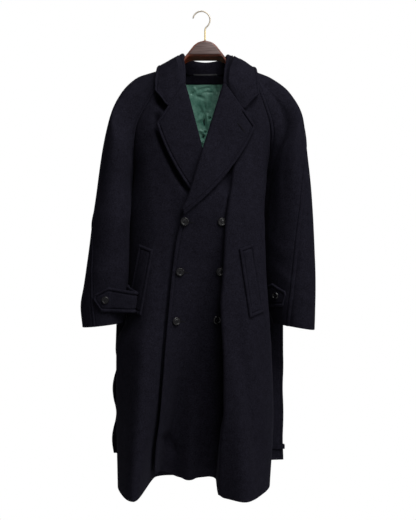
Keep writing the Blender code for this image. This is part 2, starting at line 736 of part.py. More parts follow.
def lapel_sides(revers):
    """Roll line and outer edge as places across and heights, from the foot of the lapel to the gorge."""
    share = np.linspace(0, 1, LAPEL_ROWS + 1)
    heights = mix((revers.roll_foot[1], revers.roll_top[1]), share)
    roll = np.array([(front_edge(revers.side, z), z) for z in heights])
    foot = np.array(revers.foot)
    tip = np.array(revers.tip)
    bow = np.array([tip[1] - foot[1], foot[0] - tip[0]])
    bow = unit(bow if bow[0] * revers.side > 0 else -bow)
    edge = foot + (tip - foot) * share[:, None] + bow * (revers.belly * 4 * share * (1 - share))[:, None]
    return roll, edge


def lapel_stand(revers, across, up):
    """How far the lapel's face stands above its front."""
    free = np.interp(across, (0.0, 0.5, 1.0), LAPEL_STAND)
    start = 0.10 if revers.side < 0 else 0.0
    return mix((LAPEL + 0.0008, free), step((up - start) / 0.28))


def lapel_grid(revers):
    """The lapel's showing and hidden sides. The last row is the gorge, with the notch at column NOTCH."""
    roll, edge = lapel_sides(revers)
    gorge = np.linalg.norm(np.subtract(revers.notch, roll[-1])) / np.linalg.norm(edge[-1] - roll[-1])
    across = np.array([0.0, 0.20 * gorge, 0.55 * gorge, 0.78 * gorge, gorge, (1 + gorge) / 2, 1.0])
    turns = np.array([1.0, 0.72, 0.38])
    face = []
    hidden = []
    for i in range(LAPEL_ROWS + 1):
        up = i / LAPEL_ROWS
        outer_row = []
        inner_row = []
        at, normal = on_front(revers.side, roll[i, 0], roll[i, 1])
        after = on_front(revers.side, *roll[min(i + 1, LAPEL_ROWS)])[0]
        before = on_front(revers.side, *roll[max(i - 1, 0)])[0]
        out = unit(np.cross(normal, after - before))
        out = out if out[0] * revers.side < 0 else -out
        stand = float(lapel_stand(revers, 0.0, up))
        middle = at - normal * CLOTH / 2
        radius = stand + CLOTH / 2
        open_v = step((roll[i, 1] + 0.40) / 0.05)
        full = math.pi * (mix((0.42, 0.95), open_v) if revers.side > 0 else 0.95)
        for turn in turns:
            way = normal * math.cos(full * turn) + out * math.sin(full * turn)
            outer_row.append(middle + way * radius)
            inner_row.append(middle + way * (radius - LAPEL))
        for share in across:
            place = roll[i] + (edge[i] - roll[i]) * share
            point, normal = on_front(revers.side, place[0], place[1])
            stand = float(lapel_stand(revers, share, up))
            outer_row.append(point + normal * stand)
            inner_row.append(point + normal * (stand - LAPEL))
        face.append(outer_row)
        hidden.append(inner_row)
    return np.array(face), np.array(hidden)


def build_lapel(name, revers):
    face, hidden = lapel_grid(revers)
    wall(f"lapel_{name}", inset(face, top=2 * SEAM), inset(hidden, top=2 * SEAM), "wool")


# Collar: one sheet from the neck seam up the stand, over the fold and down to the outer edge

def on_chest(side, place, stand):
    point, normal = on_front(side, place[0], place[1])
    return point + normal * stand


def collar_lines():
    """Fold, edge and seam lines round the neck, from the wearer's right gorge to the left one."""
    lines = {"fold": [], "edge": [], "seam": []}
    right, left = REVERS["right"], REVERS["left"]

    def end(revers):
        gorge = on_chest(revers.side, revers.roll_top, LAPEL_STAND[0])
        tip = on_chest(revers.side, revers.collar_tip, COLLAR_TIP_STAND)
        return Collar(gorge, tip, gorge + np.array([-revers.side * 0.001, 0.012, -0.004]))

    stations = [end(right), *COLLAR_SIDE[-1], COLLAR_BACK, *COLLAR_SIDE[1][::-1], end(left)]
    for name in lines:
        points = np.array([getattr(station, name) for station in stations])
        smooth = smooth_path(points, 12)
        lines[name] = along(smooth, np.linspace(0, 1, COLLAR_STATIONS))
    return lines


def smooth_path(points, parts):
    """A rounded line through points."""
    points = np.asarray(points, float)
    ends = np.vstack([2 * points[0] - points[1], points, 2 * points[-1] - points[-2]])
    made = []
    for i in range(1, len(ends) - 2):
        a, b, c, d = ends[i - 1 : i + 3]
        t = np.linspace(0, 1, parts, endpoint=False)[:, None]
        square = 2 * a - 5 * b + 4 * c - d
        cube = 3 * b - a - 3 * c + d
        made.append(0.5 * (2 * b + (c - a) * t + square * t ** 2 + cube * t ** 3))
    return np.vstack([*made, points[-1:]])


def collar_grid(skin):
    """The collar's showing side and its hidden side."""
    lines = collar_lines()
    fold, edge, seam = lines["fold"], lines["edge"], lines["seam"]
    tangent = unit(np.gradient(fold, axis=0))
    away = edge - fold
    away = unit(away - tangent * (away * tangent).sum(axis=1, keepdims=True))
    up = unit(np.cross(tangent, away))
    up = np.where((up * np.array([0, -0.15, 1.0])).sum(axis=1, keepdims=True) > 0, up, -up)
    away = unit(np.cross(up, tangent))
    away = np.where(((edge - fold) * away).sum(axis=1, keepdims=True) > 0, away, -away)
    radius = COLLAR_FOLD_RADIUS
    centre = fold - up * radius
    columns = [seam, (seam + centre - away * radius) / 2]
    turns = np.radians([0, 45, 90, 135, 180])
    columns += [centre - away * radius * math.cos(a) + up * radius * math.sin(a) for a in turns]
    start = columns[-1]
    columns += [start + (edge - start) * share for share in (0.26, 0.52, 0.77, 1.0)]
    grid = np.stack(columns, axis=1)
    hints = np.stack([-away] * 2 + [up] * 5 + [away] * 4, axis=1)
    for place, revers in ((0, REVERS["right"]), (-1, REVERS["left"])):
        face = lapel_grid(revers)[0][-1]
        wanted = gorge_row(face, grid[place, -1])
        shift = wanted - grid[place]
        for distance in range(COLLAR_BLEND):
            row = distance if place == 0 else -1 - distance
            grid[row] += shift * (1 - distance / COLLAR_BLEND) ** 2
    normals = grid_normals(grid, hints)
    for even in (True, True, True, False, False):
        hidden = grid - normals * COLLAR
        lift = lift_off(skin, hidden[:, 5:], COLLAR_CLEAR) - hidden[:, 5:]
        grid[:, 5:] += spread(lift) if even else lift
        normals = grid_normals(grid, hints)
    hidden = grid - normals * COLLAR
    for place, revers in ((0, REVERS["right"]), (-1, REVERS["left"])):
        face, under = (side[-1] for side in lapel_grid(revers))
        grid[place, :9] = gorge_row(face, grid[place, -1])[:9]
        hidden[place, :9] = gorge_row(under, hidden[place, -1])[:9]
    return grid, hidden


def spread(lift):
    """A lift shared with the stations to both sides, so that an edge stays even."""
    padded = np.concatenate([lift[:1]] * 3 + [lift] + [lift[-1:]] * 3)
    around = np.stack([padded[k : k + len(lift)] for k in range(7)])
    heights = np.linalg.norm(around, axis=3)
    shared = (around * np.array([1, 2, 3, 4, 3, 2, 1])[:, None, None, None]).sum(axis=0) / 10
    return np.where((heights.max(axis=0) > 0)[..., None], shared, 0.0)


def gorge_row(lapel, last):
    """The lapel's upper row to the notch, spread over the collar's columns, and on to the collar's tip."""
    notch = lapel[NOTCH]
    return np.array([
        lapel[0], lapel[1], (lapel[1] + lapel[2]) / 2, lapel[2], lapel[3], (lapel[3] + lapel[4]) / 2,
        lapel[4], lapel[5], notch, (notch + last) / 2, last,
    ])


def skin_tree(grids):
    """The outer faces of the body and the sleeves, each turned outwards."""
    points = []
    faces = []
    for grid, normals, neck in grids:
        beyond = grid[neck] + unit(grid[neck] - grid[1 if neck == 0 else -2]) * 0.02
        grid = np.concatenate([beyond[None], grid] if neck == 0 else [grid, beyond[None]])
        rows, columns = grid.shape[:2]
        first = len(points)
        points += [Vector(p) for p in grid.reshape(-1, 3)]
        turn = np.cross(grid[1, 1] - grid[1, 0], grid[1, 1] - grid[0, 1])
        flip = np.dot(turn, normals[1, 1]) < 0
        for i in range(rows - 1):
            for j in range(columns - 1):
                a = first + i * columns + j
                quad = (a, a + 1, a + columns + 1, a + columns)
                faces.append(quad[::-1] if flip else quad)
    return BVHTree.FromPolygons(points, faces)


def lift_off(skin, points, clearance):
    """Moves points that lie too near the cloth out from it."""
    moved = points.reshape(-1, 3).copy()
    for i, point in enumerate(moved):
        place, normal, _, _ = skin.find_nearest(Vector(point))
        height = float(np.dot(point - np.array(place), np.array(normal)))
        if height < clearance:
            moved[i] = point + np.array(normal) * (clearance - height)
    return moved.reshape(points.shape)


def build_collar(skin):
    grid, hidden = collar_grid(skin)
    apart = 2 * SEAM
    wall("collar", inset(grid, bottom=apart, top=apart), inset(hidden, bottom=apart, top=apart), "wool")
    middle = COLLAR_STATIONS // 2
    reach = 3
    rows = slice(middle - reach, middle + reach + 1)
    foot = mix((grid[rows, 0], grid[rows, 1]), 0.10)
    head = mix((grid[rows, 0], grid[rows, 1]), 0.10 + LOOP_HEIGHT / 0.018)
    out = unit(grid - hidden)[rows, 0]
    strip = np.stack([foot, head], axis=1)
    bow = LAID + 0.0014 * np.sin(np.linspace(0, math.pi, 2 * reach + 1)) ** 0.5
    way = np.stack([out, out], axis=1)
    inner = strip + way * bow[:, None, None]
    wall("hanging_loop", inner + way * 0.0018, inner, "tape")


# What lies on the fronts: pocket welts and buttons

def tree_of(name):
    mesh = bpy.data.objects[name].data
    return BVHTree.FromPolygons([v.co for v in mesh.vertices], [tuple(p.vertices) for p in mesh.polygons])


def on_panel(tree, point):
    """The point of a panel's own facets nearest to a point of its form."""
    return np.array(tree.find_nearest(Vector(point))[0])


def build_welt(name, pocket):
    tree = tree_of(f"front_{name}")
    top = np.array(pocket.top)
    foot = np.array(pocket.foot)
    way = unit(top - foot)
    across = np.array([way[1], -way[0]])
    outer = []
    inner = []
    for up in np.linspace(0, 1, POCKET_ROWS):
        for share in np.linspace(-0.5, 0.5, POCKET_COLUMNS + 1):
            slant = share * pocket.side * POCKET_SLANT * pocket.width
            x, z = foot + (top - foot) * up + across * share * pocket.width + way * slant
            point, normal = on_front(pocket.side, x, z)
            point = on_panel(tree, point)
            outer.append(point + normal * (WELT_GAP + WELT))
            inner.append(point + normal * WELT_GAP)
    shape = (POCKET_ROWS, POCKET_COLUMNS + 1, 3)
    wall(f"pocket_welt_{name}", np.reshape(outer, shape), np.reshape(inner, shape), "wool")


def turned(name, base, axis, profile, sides, material):
    """A body turned round an axis from a profile of radius and height that starts and ends on the axis."""
    axis = unit(axis)
    side = unit(np.cross(axis, (0.3, 0.2, 1.0)))
    other = np.cross(axis, side)
    points = [base + axis * profile[0][1]]
    for radius, height in profile[1:-1]:
        for k in range(sides):
            angle = 2 * math.pi * k / sides
            points.append(base + axis * height + radius * (side * math.cos(angle) + other * math.sin(angle)))
    points.append(base + axis * profile[-1][1])
    rings = len(profile) - 2
    last = len(points) - 1
    faces = []
    for k in range(sides):
        after = (k + 1) % sides
        faces.append((0, 1 + after, 1 + k))
        faces.append((last, last - sides + k, last - sides + after))
        for r in range(rings - 1):
            a = 1 + r * sides
            faces.append((a + k, a + after, a + sides + after, a + sides + k))
    return add_object(name, points, faces, material)


def button_profile(radius):
    return [
        (0, 0), (radius * 0.80, 0), (radius, BUTTON_RIM * 0.35), (radius, BUTTON_RIM * 0.70),
        (radius * 0.90, BUTTON_RIM), (radius * 0.76, BUTTON_RIM * 0.95), (radius * 0.66, BUTTON_DISH),
        (0, BUTTON_DISH),
    ]


def rest_on(tree, point, normal, radius):
    """Where a disc lies on a panel: the foot of its axis, clear of all that is under it."""
    side = unit(np.cross(normal, (0.0, 0.0, 1.0)))
    other = np.cross(normal, side)
    heights = []
    for reach in (0.0, 0.5 * radius, 0.85 * radius, 0.96 * radius):
        for angle in np.linspace(0, 2 * math.pi, 16, endpoint=False):
            start = point + reach * (side * math.cos(angle) + other * math.sin(angle)) + normal * 0.03
            hit = tree.ray_cast(Vector(start), Vector(-normal))
            if hit[0]:
                heights.append(0.03 - hit[3])
    return point + normal * (max(heights) + LAID)


def build_buttons():
    tree = tree_of("front_left")
    for column, places in (("right", BUTTON_RIGHT), ("left", BUTTON_LEFT)):
        for number, (x, z) in enumerate(zip(places, BUTTON_HEIGHTS), 1):
            point, normal = on_front(1, x, z)
            base = rest_on(tree, point, normal, BUTTON_RADIUS)
            profile = button_profile(BUTTON_RADIUS)
            turned(f"button_{column}_{number}", base, normal, profile, BUTTON_SIDES, "horn")


# Cuff straps and their buttons

def ring_at(rings, around, z, values=None):
    """Point of a sleeve, or another value, at a share of its front half from the inner line and a height."""
    values = rings if values is None else values
    heights = rings[:, :, 2].mean(axis=1)
    row = float(np.interp(-z, -heights[ROWS_ABOVE:], np.arange(ROWS_ABOVE, len(rings))))
    place = around * SLEEVE_COLUMNS
    if place < 0:
        place += rings.shape[1] - 1
    i = min(int(row), len(rings) - 2)
    j = min(int(place), rings.shape[1] - 2)
    a = row - i
    b = place - j
    upper = mix((values[i, j], values[i, j + 1]), b)
    lower = mix((values[i + 1, j], values[i + 1, j + 1]), b)
    return mix((upper, lower), a)


def build_strap(name, rings, normals):
    height, drop, stations = STRAPS[name]
    outer = []
    inner = []
    for k, station in enumerate(stations):
        share = k / (len(stations) - 1)
        width = STRAP_WIDTH * (STRAP_TIP_SHARE if k == len(stations) - 1 else 1.0)
        for edge in (-1.0, 0.0, 1.0):
            z = height + drop * (share - 0.5) + edge * width / 2
            point = ring_at(rings, station.around, z)
            normal = unit(ring_at(rings, station.around, z, normals))
            stand = station.stand_off * (1 + 0.55 * edge) if station.stand_off > 0.003 else station.stand_off
            outer.append(point + normal * (stand + STRAP))
            inner.append(point + normal * stand)
    shape = (len(stations), 3, 3)
    wall(f"cuff_strap_{name}", np.reshape(outer, shape), np.reshape(inner, shape), "wool")
    tree = tree_of(f"cuff_strap_{name}")
    around = STRAP_BUTTON_AT[name]
    share = np.interp(around, [s.around for s in stations], np.linspace(0, 1, len(stations)))
    z = height + drop * (share - 0.5)
    point = ring_at(rings, around, z)
    normal = unit(ring_at(rings, around, z, normals))
    base = rest_on(tree, point, normal, CUFF_BUTTON_RADIUS)
    turned(f"cuff_button_{name}", base, normal, button_profile(CUFF_BUTTON_RADIUS), BUTTON_SIDES, "horn")


# Belt: through the loops of the back, folded down at each side, with hanging ends

def belt_plan(back, normals):
    """The belt's run behind the coat in plan, from the wearer's right corner to the left one, at the waist."""
    heights = back[:, 0, 2]
    out = back + normals * (BELT_GAP + BELT / 2)
    z = WAIST - BELT_WIDTH / 2
    line = np.array([[np.interp(z, heights, out[:, j, k]) for k in range(2)] for j in range(out.shape[1])])
    kept = line[(line[:, 0] > BELT_LOOP_AT["right"] - 0.02) & (line[:, 0] < BELT_LOOP_AT["left"] + 0.02)]
    return np.vstack([BELT_CORNER["right"], BELT_BEND["right"], kept, BELT_BEND["left"], BELT_CORNER["left"]])


def belt_stations(length):
    """Rows of the belt as places along its middle, each with the slant that lays it along the fold."""
    turn = math.pi * BELT_FOLD_RADIUS * math.sqrt(2)
    corner = np.concatenate([
        np.linspace(-turn - BELT_SLANT_ZONE, -turn, 5),
        np.linspace(-turn, 0, 7)[1:],
        np.linspace(0, BELT_SLANT_ZONE, 5)[1:],
    ])
    slant = 1 - step(np.maximum(corner, -turn - corner) / BELT_SLANT_ZONE)
    first, last = corner[0], corner[-1]
    drop = {name: WAIST - BELT_END[name] for name in BELT_END}
    falls = {name: np.linspace(-drop[name], first, BELT_ROWS)[:-1] for name in BELT_END}
    middle = np.linspace(last, length - last, 12)[1:-1]
    places = np.concatenate([
        falls["right"], corner, middle, length - corner[::-1], length - falls["left"][::-1],
    ])
    level = np.zeros(BELT_ROWS - 1)
    slants = np.concatenate([level, slant, 0 * middle, -slant[::-1], level])
    return places, slants


def belt_point(plan, run, length, l, w):
    """A point of the belt's middle surface and its normal, from the place along it and across it."""
    if l < length / 2:
        corner, inward, name, beyond = plan[0], plan[1] - plan[0], "right", -l
    else:
        corner, inward, name, beyond = plan[-1], plan[-2] - plan[-1], "left", l - length
    away = np.array([*-unit(inward), 0.0])
    out = np.array([-away[1], away[0], 0.0])
    out = out if out[1] > 0 else -out
    over = np.array([away[0], away[1], 1.0]) / math.sqrt(2)
    past = (beyond + w) / math.sqrt(2)
    flat = np.array([*corner, WAIST]) + away * beyond + np.array([0, 0, w])
    if past <= 0:
        if 0 <= l <= length:
            x, y = (np.interp(l, run, plan[:, k]) for k in range(2))
            flat = np.array([x, y, WAIST + w])
        return flat, out, name
    foot = flat - over * past
    turn = past / BELT_FOLD_RADIUS
    if turn < math.pi:
        rolled = over * math.sin(turn) + out * (1 - math.cos(turn))
        return foot + rolled * BELT_FOLD_RADIUS, out * math.cos(turn) - over * math.sin(turn), name
    return foot - over * (past - math.pi * BELT_FOLD_RADIUS) + out * 2 * BELT_FOLD_RADIUS, -out, name


def build_belt(back, normals):
    plan = belt_plan(back, normals)
    run = np.concatenate([[0.0], np.cumsum(np.linalg.norm(np.diff(plan, axis=0), axis=1))])
    length = run[-1]
    outer = []
    inner = []
    for l, slant in zip(*belt_stations(length)):
        for w in np.linspace(-0.5, 0.5, BELT_COLUMNS + 1) * BELT_WIDTH:
            point, normal, name = belt_point(plan, run, length, l + slant * w, w)
            fall = max(0.0, WAIST - 0.06 - point[2])
            sway = BELT_WAVE[name] * step(fall / 0.25) * math.sin(2 * math.pi * fall / BELT_WAVE_LENGTH)
            drift = BELT_DRIFT[name] * step(fall / 0.45)
            point = point + np.array([sway + drift, 1.4 * abs(sway), 0.0])
            outer.append(point + normal * BELT / 2)
            inner.append(point - normal * BELT / 2)
    shape = (-1, BELT_COLUMNS + 1, 3)
    wall("belt", np.reshape(outer, shape), np.reshape(inner, shape), "wool")


def build_belt_loop(name, back, normals):
    """A strip sewn to the back above and below the belt, which passes under it."""
    heights = back[:, 0, 2]
    plan = belt_plan(back, normals)
    clear = BELT_WIDTH / 2 + 0.0025
    path = [clear + 0.016, clear + 0.008, clear, -clear, -clear - 0.008, -clear - 0.016]
    outer = []
    inner = []
    for dz in path:
        for side in (-0.5, 0.5):
            x = BELT_LOOP_AT[name] + side * BELT_LOOP_WIDTH
            row = np.array([[np.interp(WAIST + dz, heights, grid[:, j, k]) for j in range(grid.shape[1])]
                            for grid in (back, normals) for k in range(3)])
            values = np.array([np.interp(x, row[0], row[k]) for k in range(6)])
            base = values[:3] + unit(values[3:]) * 2 * LAID
            out = unit(values[3:])
            if abs(dz) == clear:
                base = np.array([x, np.interp(x, plan[:, 0], plan[:, 1]) + BELT / 2 + 0.0026, WAIST + dz])
                out = np.array([0.0, 1.0, 0.0])
            outer.append(base + out * BELT_LOOP_WALL)
            inner.append(base)
    wall(f"belt_loop_{name}", np.reshape(outer, (-1, 2, 3)), np.reshape(inner, (-1, 2, 3)), "wool")


def build_keeper():
    """A band round the belt's left end."""
    belt = bpy.data.objects["belt"]
    z = BELT_END["left"] + KEEPER_ABOVE_END
    near = np.array([v.co for v in belt.data.vertices if v.co.x > 0.1 and abs(v.co.z - z) < 0.06])
    low = near[:, :2].min(axis=0) - KEEPER_GAP
    high = near[:, :2].max(axis=0) + KEEPER_GAP
    points = []
    for grow in (0.0, KEEPER_WALL):
        for height in (-KEEPER_HEIGHT / 2, KEEPER_HEIGHT / 2):
            a, b = low - grow, high + grow
            corners = [(a[0], a[1]), (b[0], a[1]), (b[0], b[1]), (a[0], b[1])]
            points += [(x, y, z + height) for x, y in corners]
    faces = []
    for k in range(4):
        n = (k + 1) % 4
        faces += [(8 + k, 8 + n, 12 + n, 12 + k), (k, 4 + k, 4 + n, n)]
        faces += [(4 + k, 12 + k, 12 + n, 4 + n), (k, n, 8 + n, 8 + k)]
    add_object("belt_keeper", points, faces, "wool")


# Hanger

def build_hanger():
    ribs = [Rib(-r.out, *r[1:]) for r in HANGER[:0:-1]] + HANGER
    points = []
    for rib in ribs:
        c = min(HANGER_CHAMFER, (rib.top - rib.foot) * 0.3)
        d = rib.half_depth
        ring = [(-d, rib.foot + c), (-d, rib.top - c), (-d + c, rib.top), (d - c, rib.top),
                (d, rib.top - c), (d, rib.foot + c), (d - c, rib.foot), (-d + c, rib.foot)]
        points += [(HANGER_X + rib.out, y, z) for y, z in ring]
    faces = []
    for i in range(len(ribs) - 1):
        for k in range(8):
            a, b = 8 * i + k, 8 * i + (k + 1) % 8
            faces.append((a, a + 8, b + 8, b))
    faces.append(tuple(range(8)))
    faces.append(tuple(range(8 * len(ribs) - 1, 8 * len(ribs) - 9, -1)))
    add_object("hanger", points, faces, "wood")

    dome = [(r.out, r.top) for r in HANGER[:6]]
    rise = (PLATE_TOP - PLATE_FOOT) / (dome[0][1] - dome[-1][1])
    half = [(x * PLATE_SCALE, PLATE_FOOT + (z - dome[-1][1]) * rise) for x, z in dome]
    outline = [(-x, z) for x, z in half[:0:-1]] + half
    face_y = -HANGER[0].half_depth - PLATE_GAP
    points = [(HANGER_X + x, face_y, z) for x, z in outline]
    points += [(HANGER_X + x, face_y - PLATE_THICKNESS, z) for x, z in outline]
    n = len(outline)
    faces = [tuple(range(n)), tuple(range(2 * n - 1, n - 1, -1))]
    faces += [(k, k + n, (k + 1) % n + n, (k + 1) % n) for k in range(n)]
    add_object("hanger_plate", points, faces, "plate")


def build_hook():
    centre = np.array([0.0, WIRE - HOOK_RADIUS])
    turn = np.linspace(HOOK_TIP_ANGLE, HOOK_TURN_ANGLE, 20)
    bow = [centre + HOOK_RADIUS * np.array([math.cos(a), math.sin(a)]) for a in turn]
    foot = HANGER[0].top + SHANK_GAP
    shank = [np.array([HANGER_X, z]) for z in (SHANK_TOP + 0.006, SHANK_TOP - 0.004, foot)]
    path = np.vstack([bow, smooth_path(np.array([bow[-1], *shank[:2]]), 3)[1:-1], shank[1:]])
    path = np.column_stack([path[:, 0], np.zeros(len(path)), path[:, 1]])
    tangent = unit(np.gradient(path, axis=0))
    tangent[-1] = (0, 0, -1)
    points = []
    for point, way in zip(path, tangent):
        side = unit(np.cross(way, (0, 1, 0)))
        for k in range(WIRE_SIDES):
            angle = 2 * math.pi * k / WIRE_SIDES
            points.append(point + WIRE * (side * math.cos(angle) + np.array([0, 1, 0]) * math.sin(angle)))
    faces = []
    for i in range(len(path) - 1):
        for k in range(WIRE_SIDES):
            a, b = WIRE_SIDES * i + k, WIRE_SIDES * i + (k + 1) % WIRE_SIDES
            faces.append((a, a + WIRE_SIDES, b + WIRE_SIDES, b))
    faces.append(tuple(range(WIRE_SIDES)))
    faces.append(tuple(range(len(points) - 1, len(points) - WIRE_SIDES - 1, -1)))
    add_object("hanger_hook", points, faces, "brass")


def main():
    clear_scene()
    MATERIALS.update({name: make_material(name) for name in COLOURS})
    fronts, back, back_normals, sleeves, ring_out, front_normals = build_shell()
    build_inside(back, back_normals)
    for name, revers in REVERS.items():
        build_lapel(name, revers)
    grids = [(fronts[n], front_normals[n], -1) for n in fronts]
    grids += [(sleeves[n], ring_out[n], 0) for n in sleeves] + [(back, back_normals, -1)]
    build_collar(skin_tree(grids))
    for name, pocket in POCKETS.items():
        build_welt(name, pocket)
    build_buttons()
    for name, rings in sleeves.items():
        build_strap(name, rings, ring_out[name])
    build_belt(back, back_normals)
    for name in BELT_LOOP_AT:
        build_belt_loop(name, back, back_normals)
    build_keeper()
    build_hanger()
    build_hook()


main()
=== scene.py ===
import math
from collections import namedtuple

import bmesh
import bpy
import numpy as np
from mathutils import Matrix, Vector
from mathutils.bvhtree import BVHTree


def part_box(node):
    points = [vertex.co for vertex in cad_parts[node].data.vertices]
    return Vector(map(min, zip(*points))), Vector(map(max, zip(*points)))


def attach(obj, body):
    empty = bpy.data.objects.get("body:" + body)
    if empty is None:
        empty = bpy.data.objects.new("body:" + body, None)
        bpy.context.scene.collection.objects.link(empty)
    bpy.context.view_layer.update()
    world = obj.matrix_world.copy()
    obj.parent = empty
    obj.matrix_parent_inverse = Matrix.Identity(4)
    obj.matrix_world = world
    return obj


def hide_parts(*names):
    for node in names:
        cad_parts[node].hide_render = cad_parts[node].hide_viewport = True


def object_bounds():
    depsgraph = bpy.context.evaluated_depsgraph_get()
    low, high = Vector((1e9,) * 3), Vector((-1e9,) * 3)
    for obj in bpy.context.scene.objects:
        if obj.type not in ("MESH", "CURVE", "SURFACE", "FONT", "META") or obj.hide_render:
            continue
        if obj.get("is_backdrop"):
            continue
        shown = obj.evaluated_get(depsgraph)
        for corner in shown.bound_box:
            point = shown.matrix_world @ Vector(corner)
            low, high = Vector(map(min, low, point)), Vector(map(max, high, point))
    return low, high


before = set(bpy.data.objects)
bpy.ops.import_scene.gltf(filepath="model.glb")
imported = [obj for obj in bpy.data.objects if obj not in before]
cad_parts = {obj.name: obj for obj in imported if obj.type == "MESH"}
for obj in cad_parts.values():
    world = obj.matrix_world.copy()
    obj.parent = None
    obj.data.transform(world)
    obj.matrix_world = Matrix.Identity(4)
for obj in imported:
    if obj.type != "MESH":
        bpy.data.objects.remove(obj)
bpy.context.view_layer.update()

# Hanger
# A thick shaped hanger of beech with a domed head, stained red-brown and varnished. The arms carry the
# shoulders from inside, so only the head and the roots of the arms show in the neck.


def linear(code):
    """An sRGB hex colour as linear red, green, blue and alpha."""
    parts = [int(code[k : k + 2], 16) / 255 for k in (1, 3, 5)]
    return (*[c / 12.92 if c <= 0.04045 else ((c + 0.055) / 1.055) ** 2.4 for c in parts], 1.0)


def new_material(name, sockets):
    """A material with values on its shader, and the Object coordinates that its patterns read."""
    made = bpy.data.materials.new(name)
    made.use_nodes = True
    shader = made.node_tree.nodes["Principled BSDF"]
    for socket, value in sockets.items():
        shader.inputs[socket].default_value = linear(value) if isinstance(value, str) else value
    return made, made.node_tree.nodes.new("ShaderNodeTexCoord").outputs["Object"]


def add_node(material, kind, inputs, output=0, to=None, stops=(), **settings):
    """Adds a node with its settings and gives one of its outputs, which also goes to the shader's socket to.

    An input takes a value, a hex colour or another node's output. Stops are a ramp's places and colours.
    """
    tree = material.node_tree
    made = tree.nodes.new("ShaderNode" + kind)
    for name, value in settings.items():
        setattr(made, name, value)
    for name, value in inputs.items():
        if isinstance(value, bpy.types.NodeSocket):
            tree.links.new(value, made.inputs[name])
        else:
            made.inputs[name].default_value = linear(value) if isinstance(value, str) else value
    for k, (place, colour) in enumerate(stops):
        made.color_ramp.elements[k].position = place
        made.color_ramp.elements[k].color = linear(colour)
    if to:
        shader = tree.nodes.get("Principled BSDF") or tree.nodes["Background"]
        tree.links.new(made.outputs[output], shader.inputs[to])
    return made.outputs[output]


def step(x):
    """0 up to x = 0, 1 from x = 1, smooth between."""
    x = np.clip(x, 0.0, 1.0)
    return x * x * (3.0 - 2.0 * x)


def mix(pair, share):
    return pair[0] + (pair[1] - pair[0]) * share


def unit(vectors):
    vectors = np.asarray(vectors, float)
    return vectors / np.maximum(np.linalg.norm(vectors, axis=-1, keepdims=True), 1e-12)


def curve_through(rows):
    """A smooth curve from each row's first number to its others, which it never overshoots."""
    rows = np.array(sorted(rows), float)
    knots = rows[:, 0]
    values = rows[:, 1:] if rows.shape[1] > 2 else rows[:, 1]
    widths = np.diff(knots)
    slopes = np.diff(values, axis=0) / widths.reshape(-1, *([1] * (values.ndim - 1)))
    tangents = np.zeros_like(values)
    tangents[0] = slopes[0]
    tangents[-1] = slopes[-1]
    before = slopes[:-1]
    after = slopes[1:]
    same = before * after > 0
    tangents[1:-1] = np.where(same, 2 * before * after / np.where(same, before + after, 1.0), 0.0)

    def at(x):
        x = np.asarray(x, float)
        i = np.clip(np.searchsorted(knots, x) - 1, 0, len(widths) - 1)
        h = widths[i]
        t = np.clip((x - knots[i]) / h, 0.0, 1.0)
        shape = t.shape + (1,) * (values.ndim - 1)
        t = t.reshape(shape)
        h = h.reshape(shape)
        first = values[i] * (1 + 2 * t) * (1 - t) ** 2 + tangents[i] * h * t * (1 - t) ** 2
        return first + values[i + 1] * t * t * (3 - 2 * t) + tangents[i + 1] * h * t * t * (t - 1)

    return at


def squared_ring(count, squareness):
    """A rounded square two units wide, as points from its right side round to that side again."""
    angle = np.linspace(0, 2 * math.pi, count)
    ring = np.column_stack([np.cos(angle), np.sin(angle)])
    return np.sign(ring) * np.abs(ring) ** squareness


def mapped_grid(points, uv=None):
    """A bmesh grid with its points laid where the array of points says, row by row."""
    rows, columns = points.shape[:2]
    bm = bmesh.new()
    bmesh.ops.create_grid(bm, x_segments=columns - 1, y_segments=rows - 1, size=1.0)
    place = bm.verts.layers.int.new("place")
    for k, (vert, point) in enumerate(zip(bm.verts, points.reshape(-1, 3))):
        vert.co = point
        vert[place] = k
    if uv is not None:
        layer = bm.loops.layers.uv.verify()
        flat = uv.reshape(-1, 2)
        for face in bm.faces:
            for loop in face.loops:
                loop[layer].uv = flat[loop.vert[place]]
    return bm


def capped_tube(rings):
    """A bmesh through closed rings of points, with both ends filled."""
    bm = mapped_grid(np.array(rings))
    bmesh.ops.remove_doubles(bm, verts=bm.verts, dist=1e-6)
    bmesh.ops.holes_fill(bm, edges=[e for e in bm.edges if e.is_boundary])
    return bm


def add_piece(name, bm, material, slot, *nodes):
    """Closes a bmesh into a smooth piece that rides on the coat's one body and stands for its CAD nodes."""
    bmesh.ops.remove_doubles(bm, verts=bm.verts, dist=1e-6)
    bmesh.ops.dissolve_degenerate(bm, dist=1e-7, edges=bm.edges)
    bmesh.ops.recalc_face_normals(bm, faces=bm.faces)
    mesh = bpy.data.meshes.new(name)
    bm.to_mesh(mesh)
    bm.free()
    mesh.shade_smooth()
    mesh.materials.append(material)
    made = bpy.data.objects.new(name, mesh)
    bpy.context.scene.collection.objects.link(made)
    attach(made, "root")
    if nodes:
        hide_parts(*nodes)
    return made


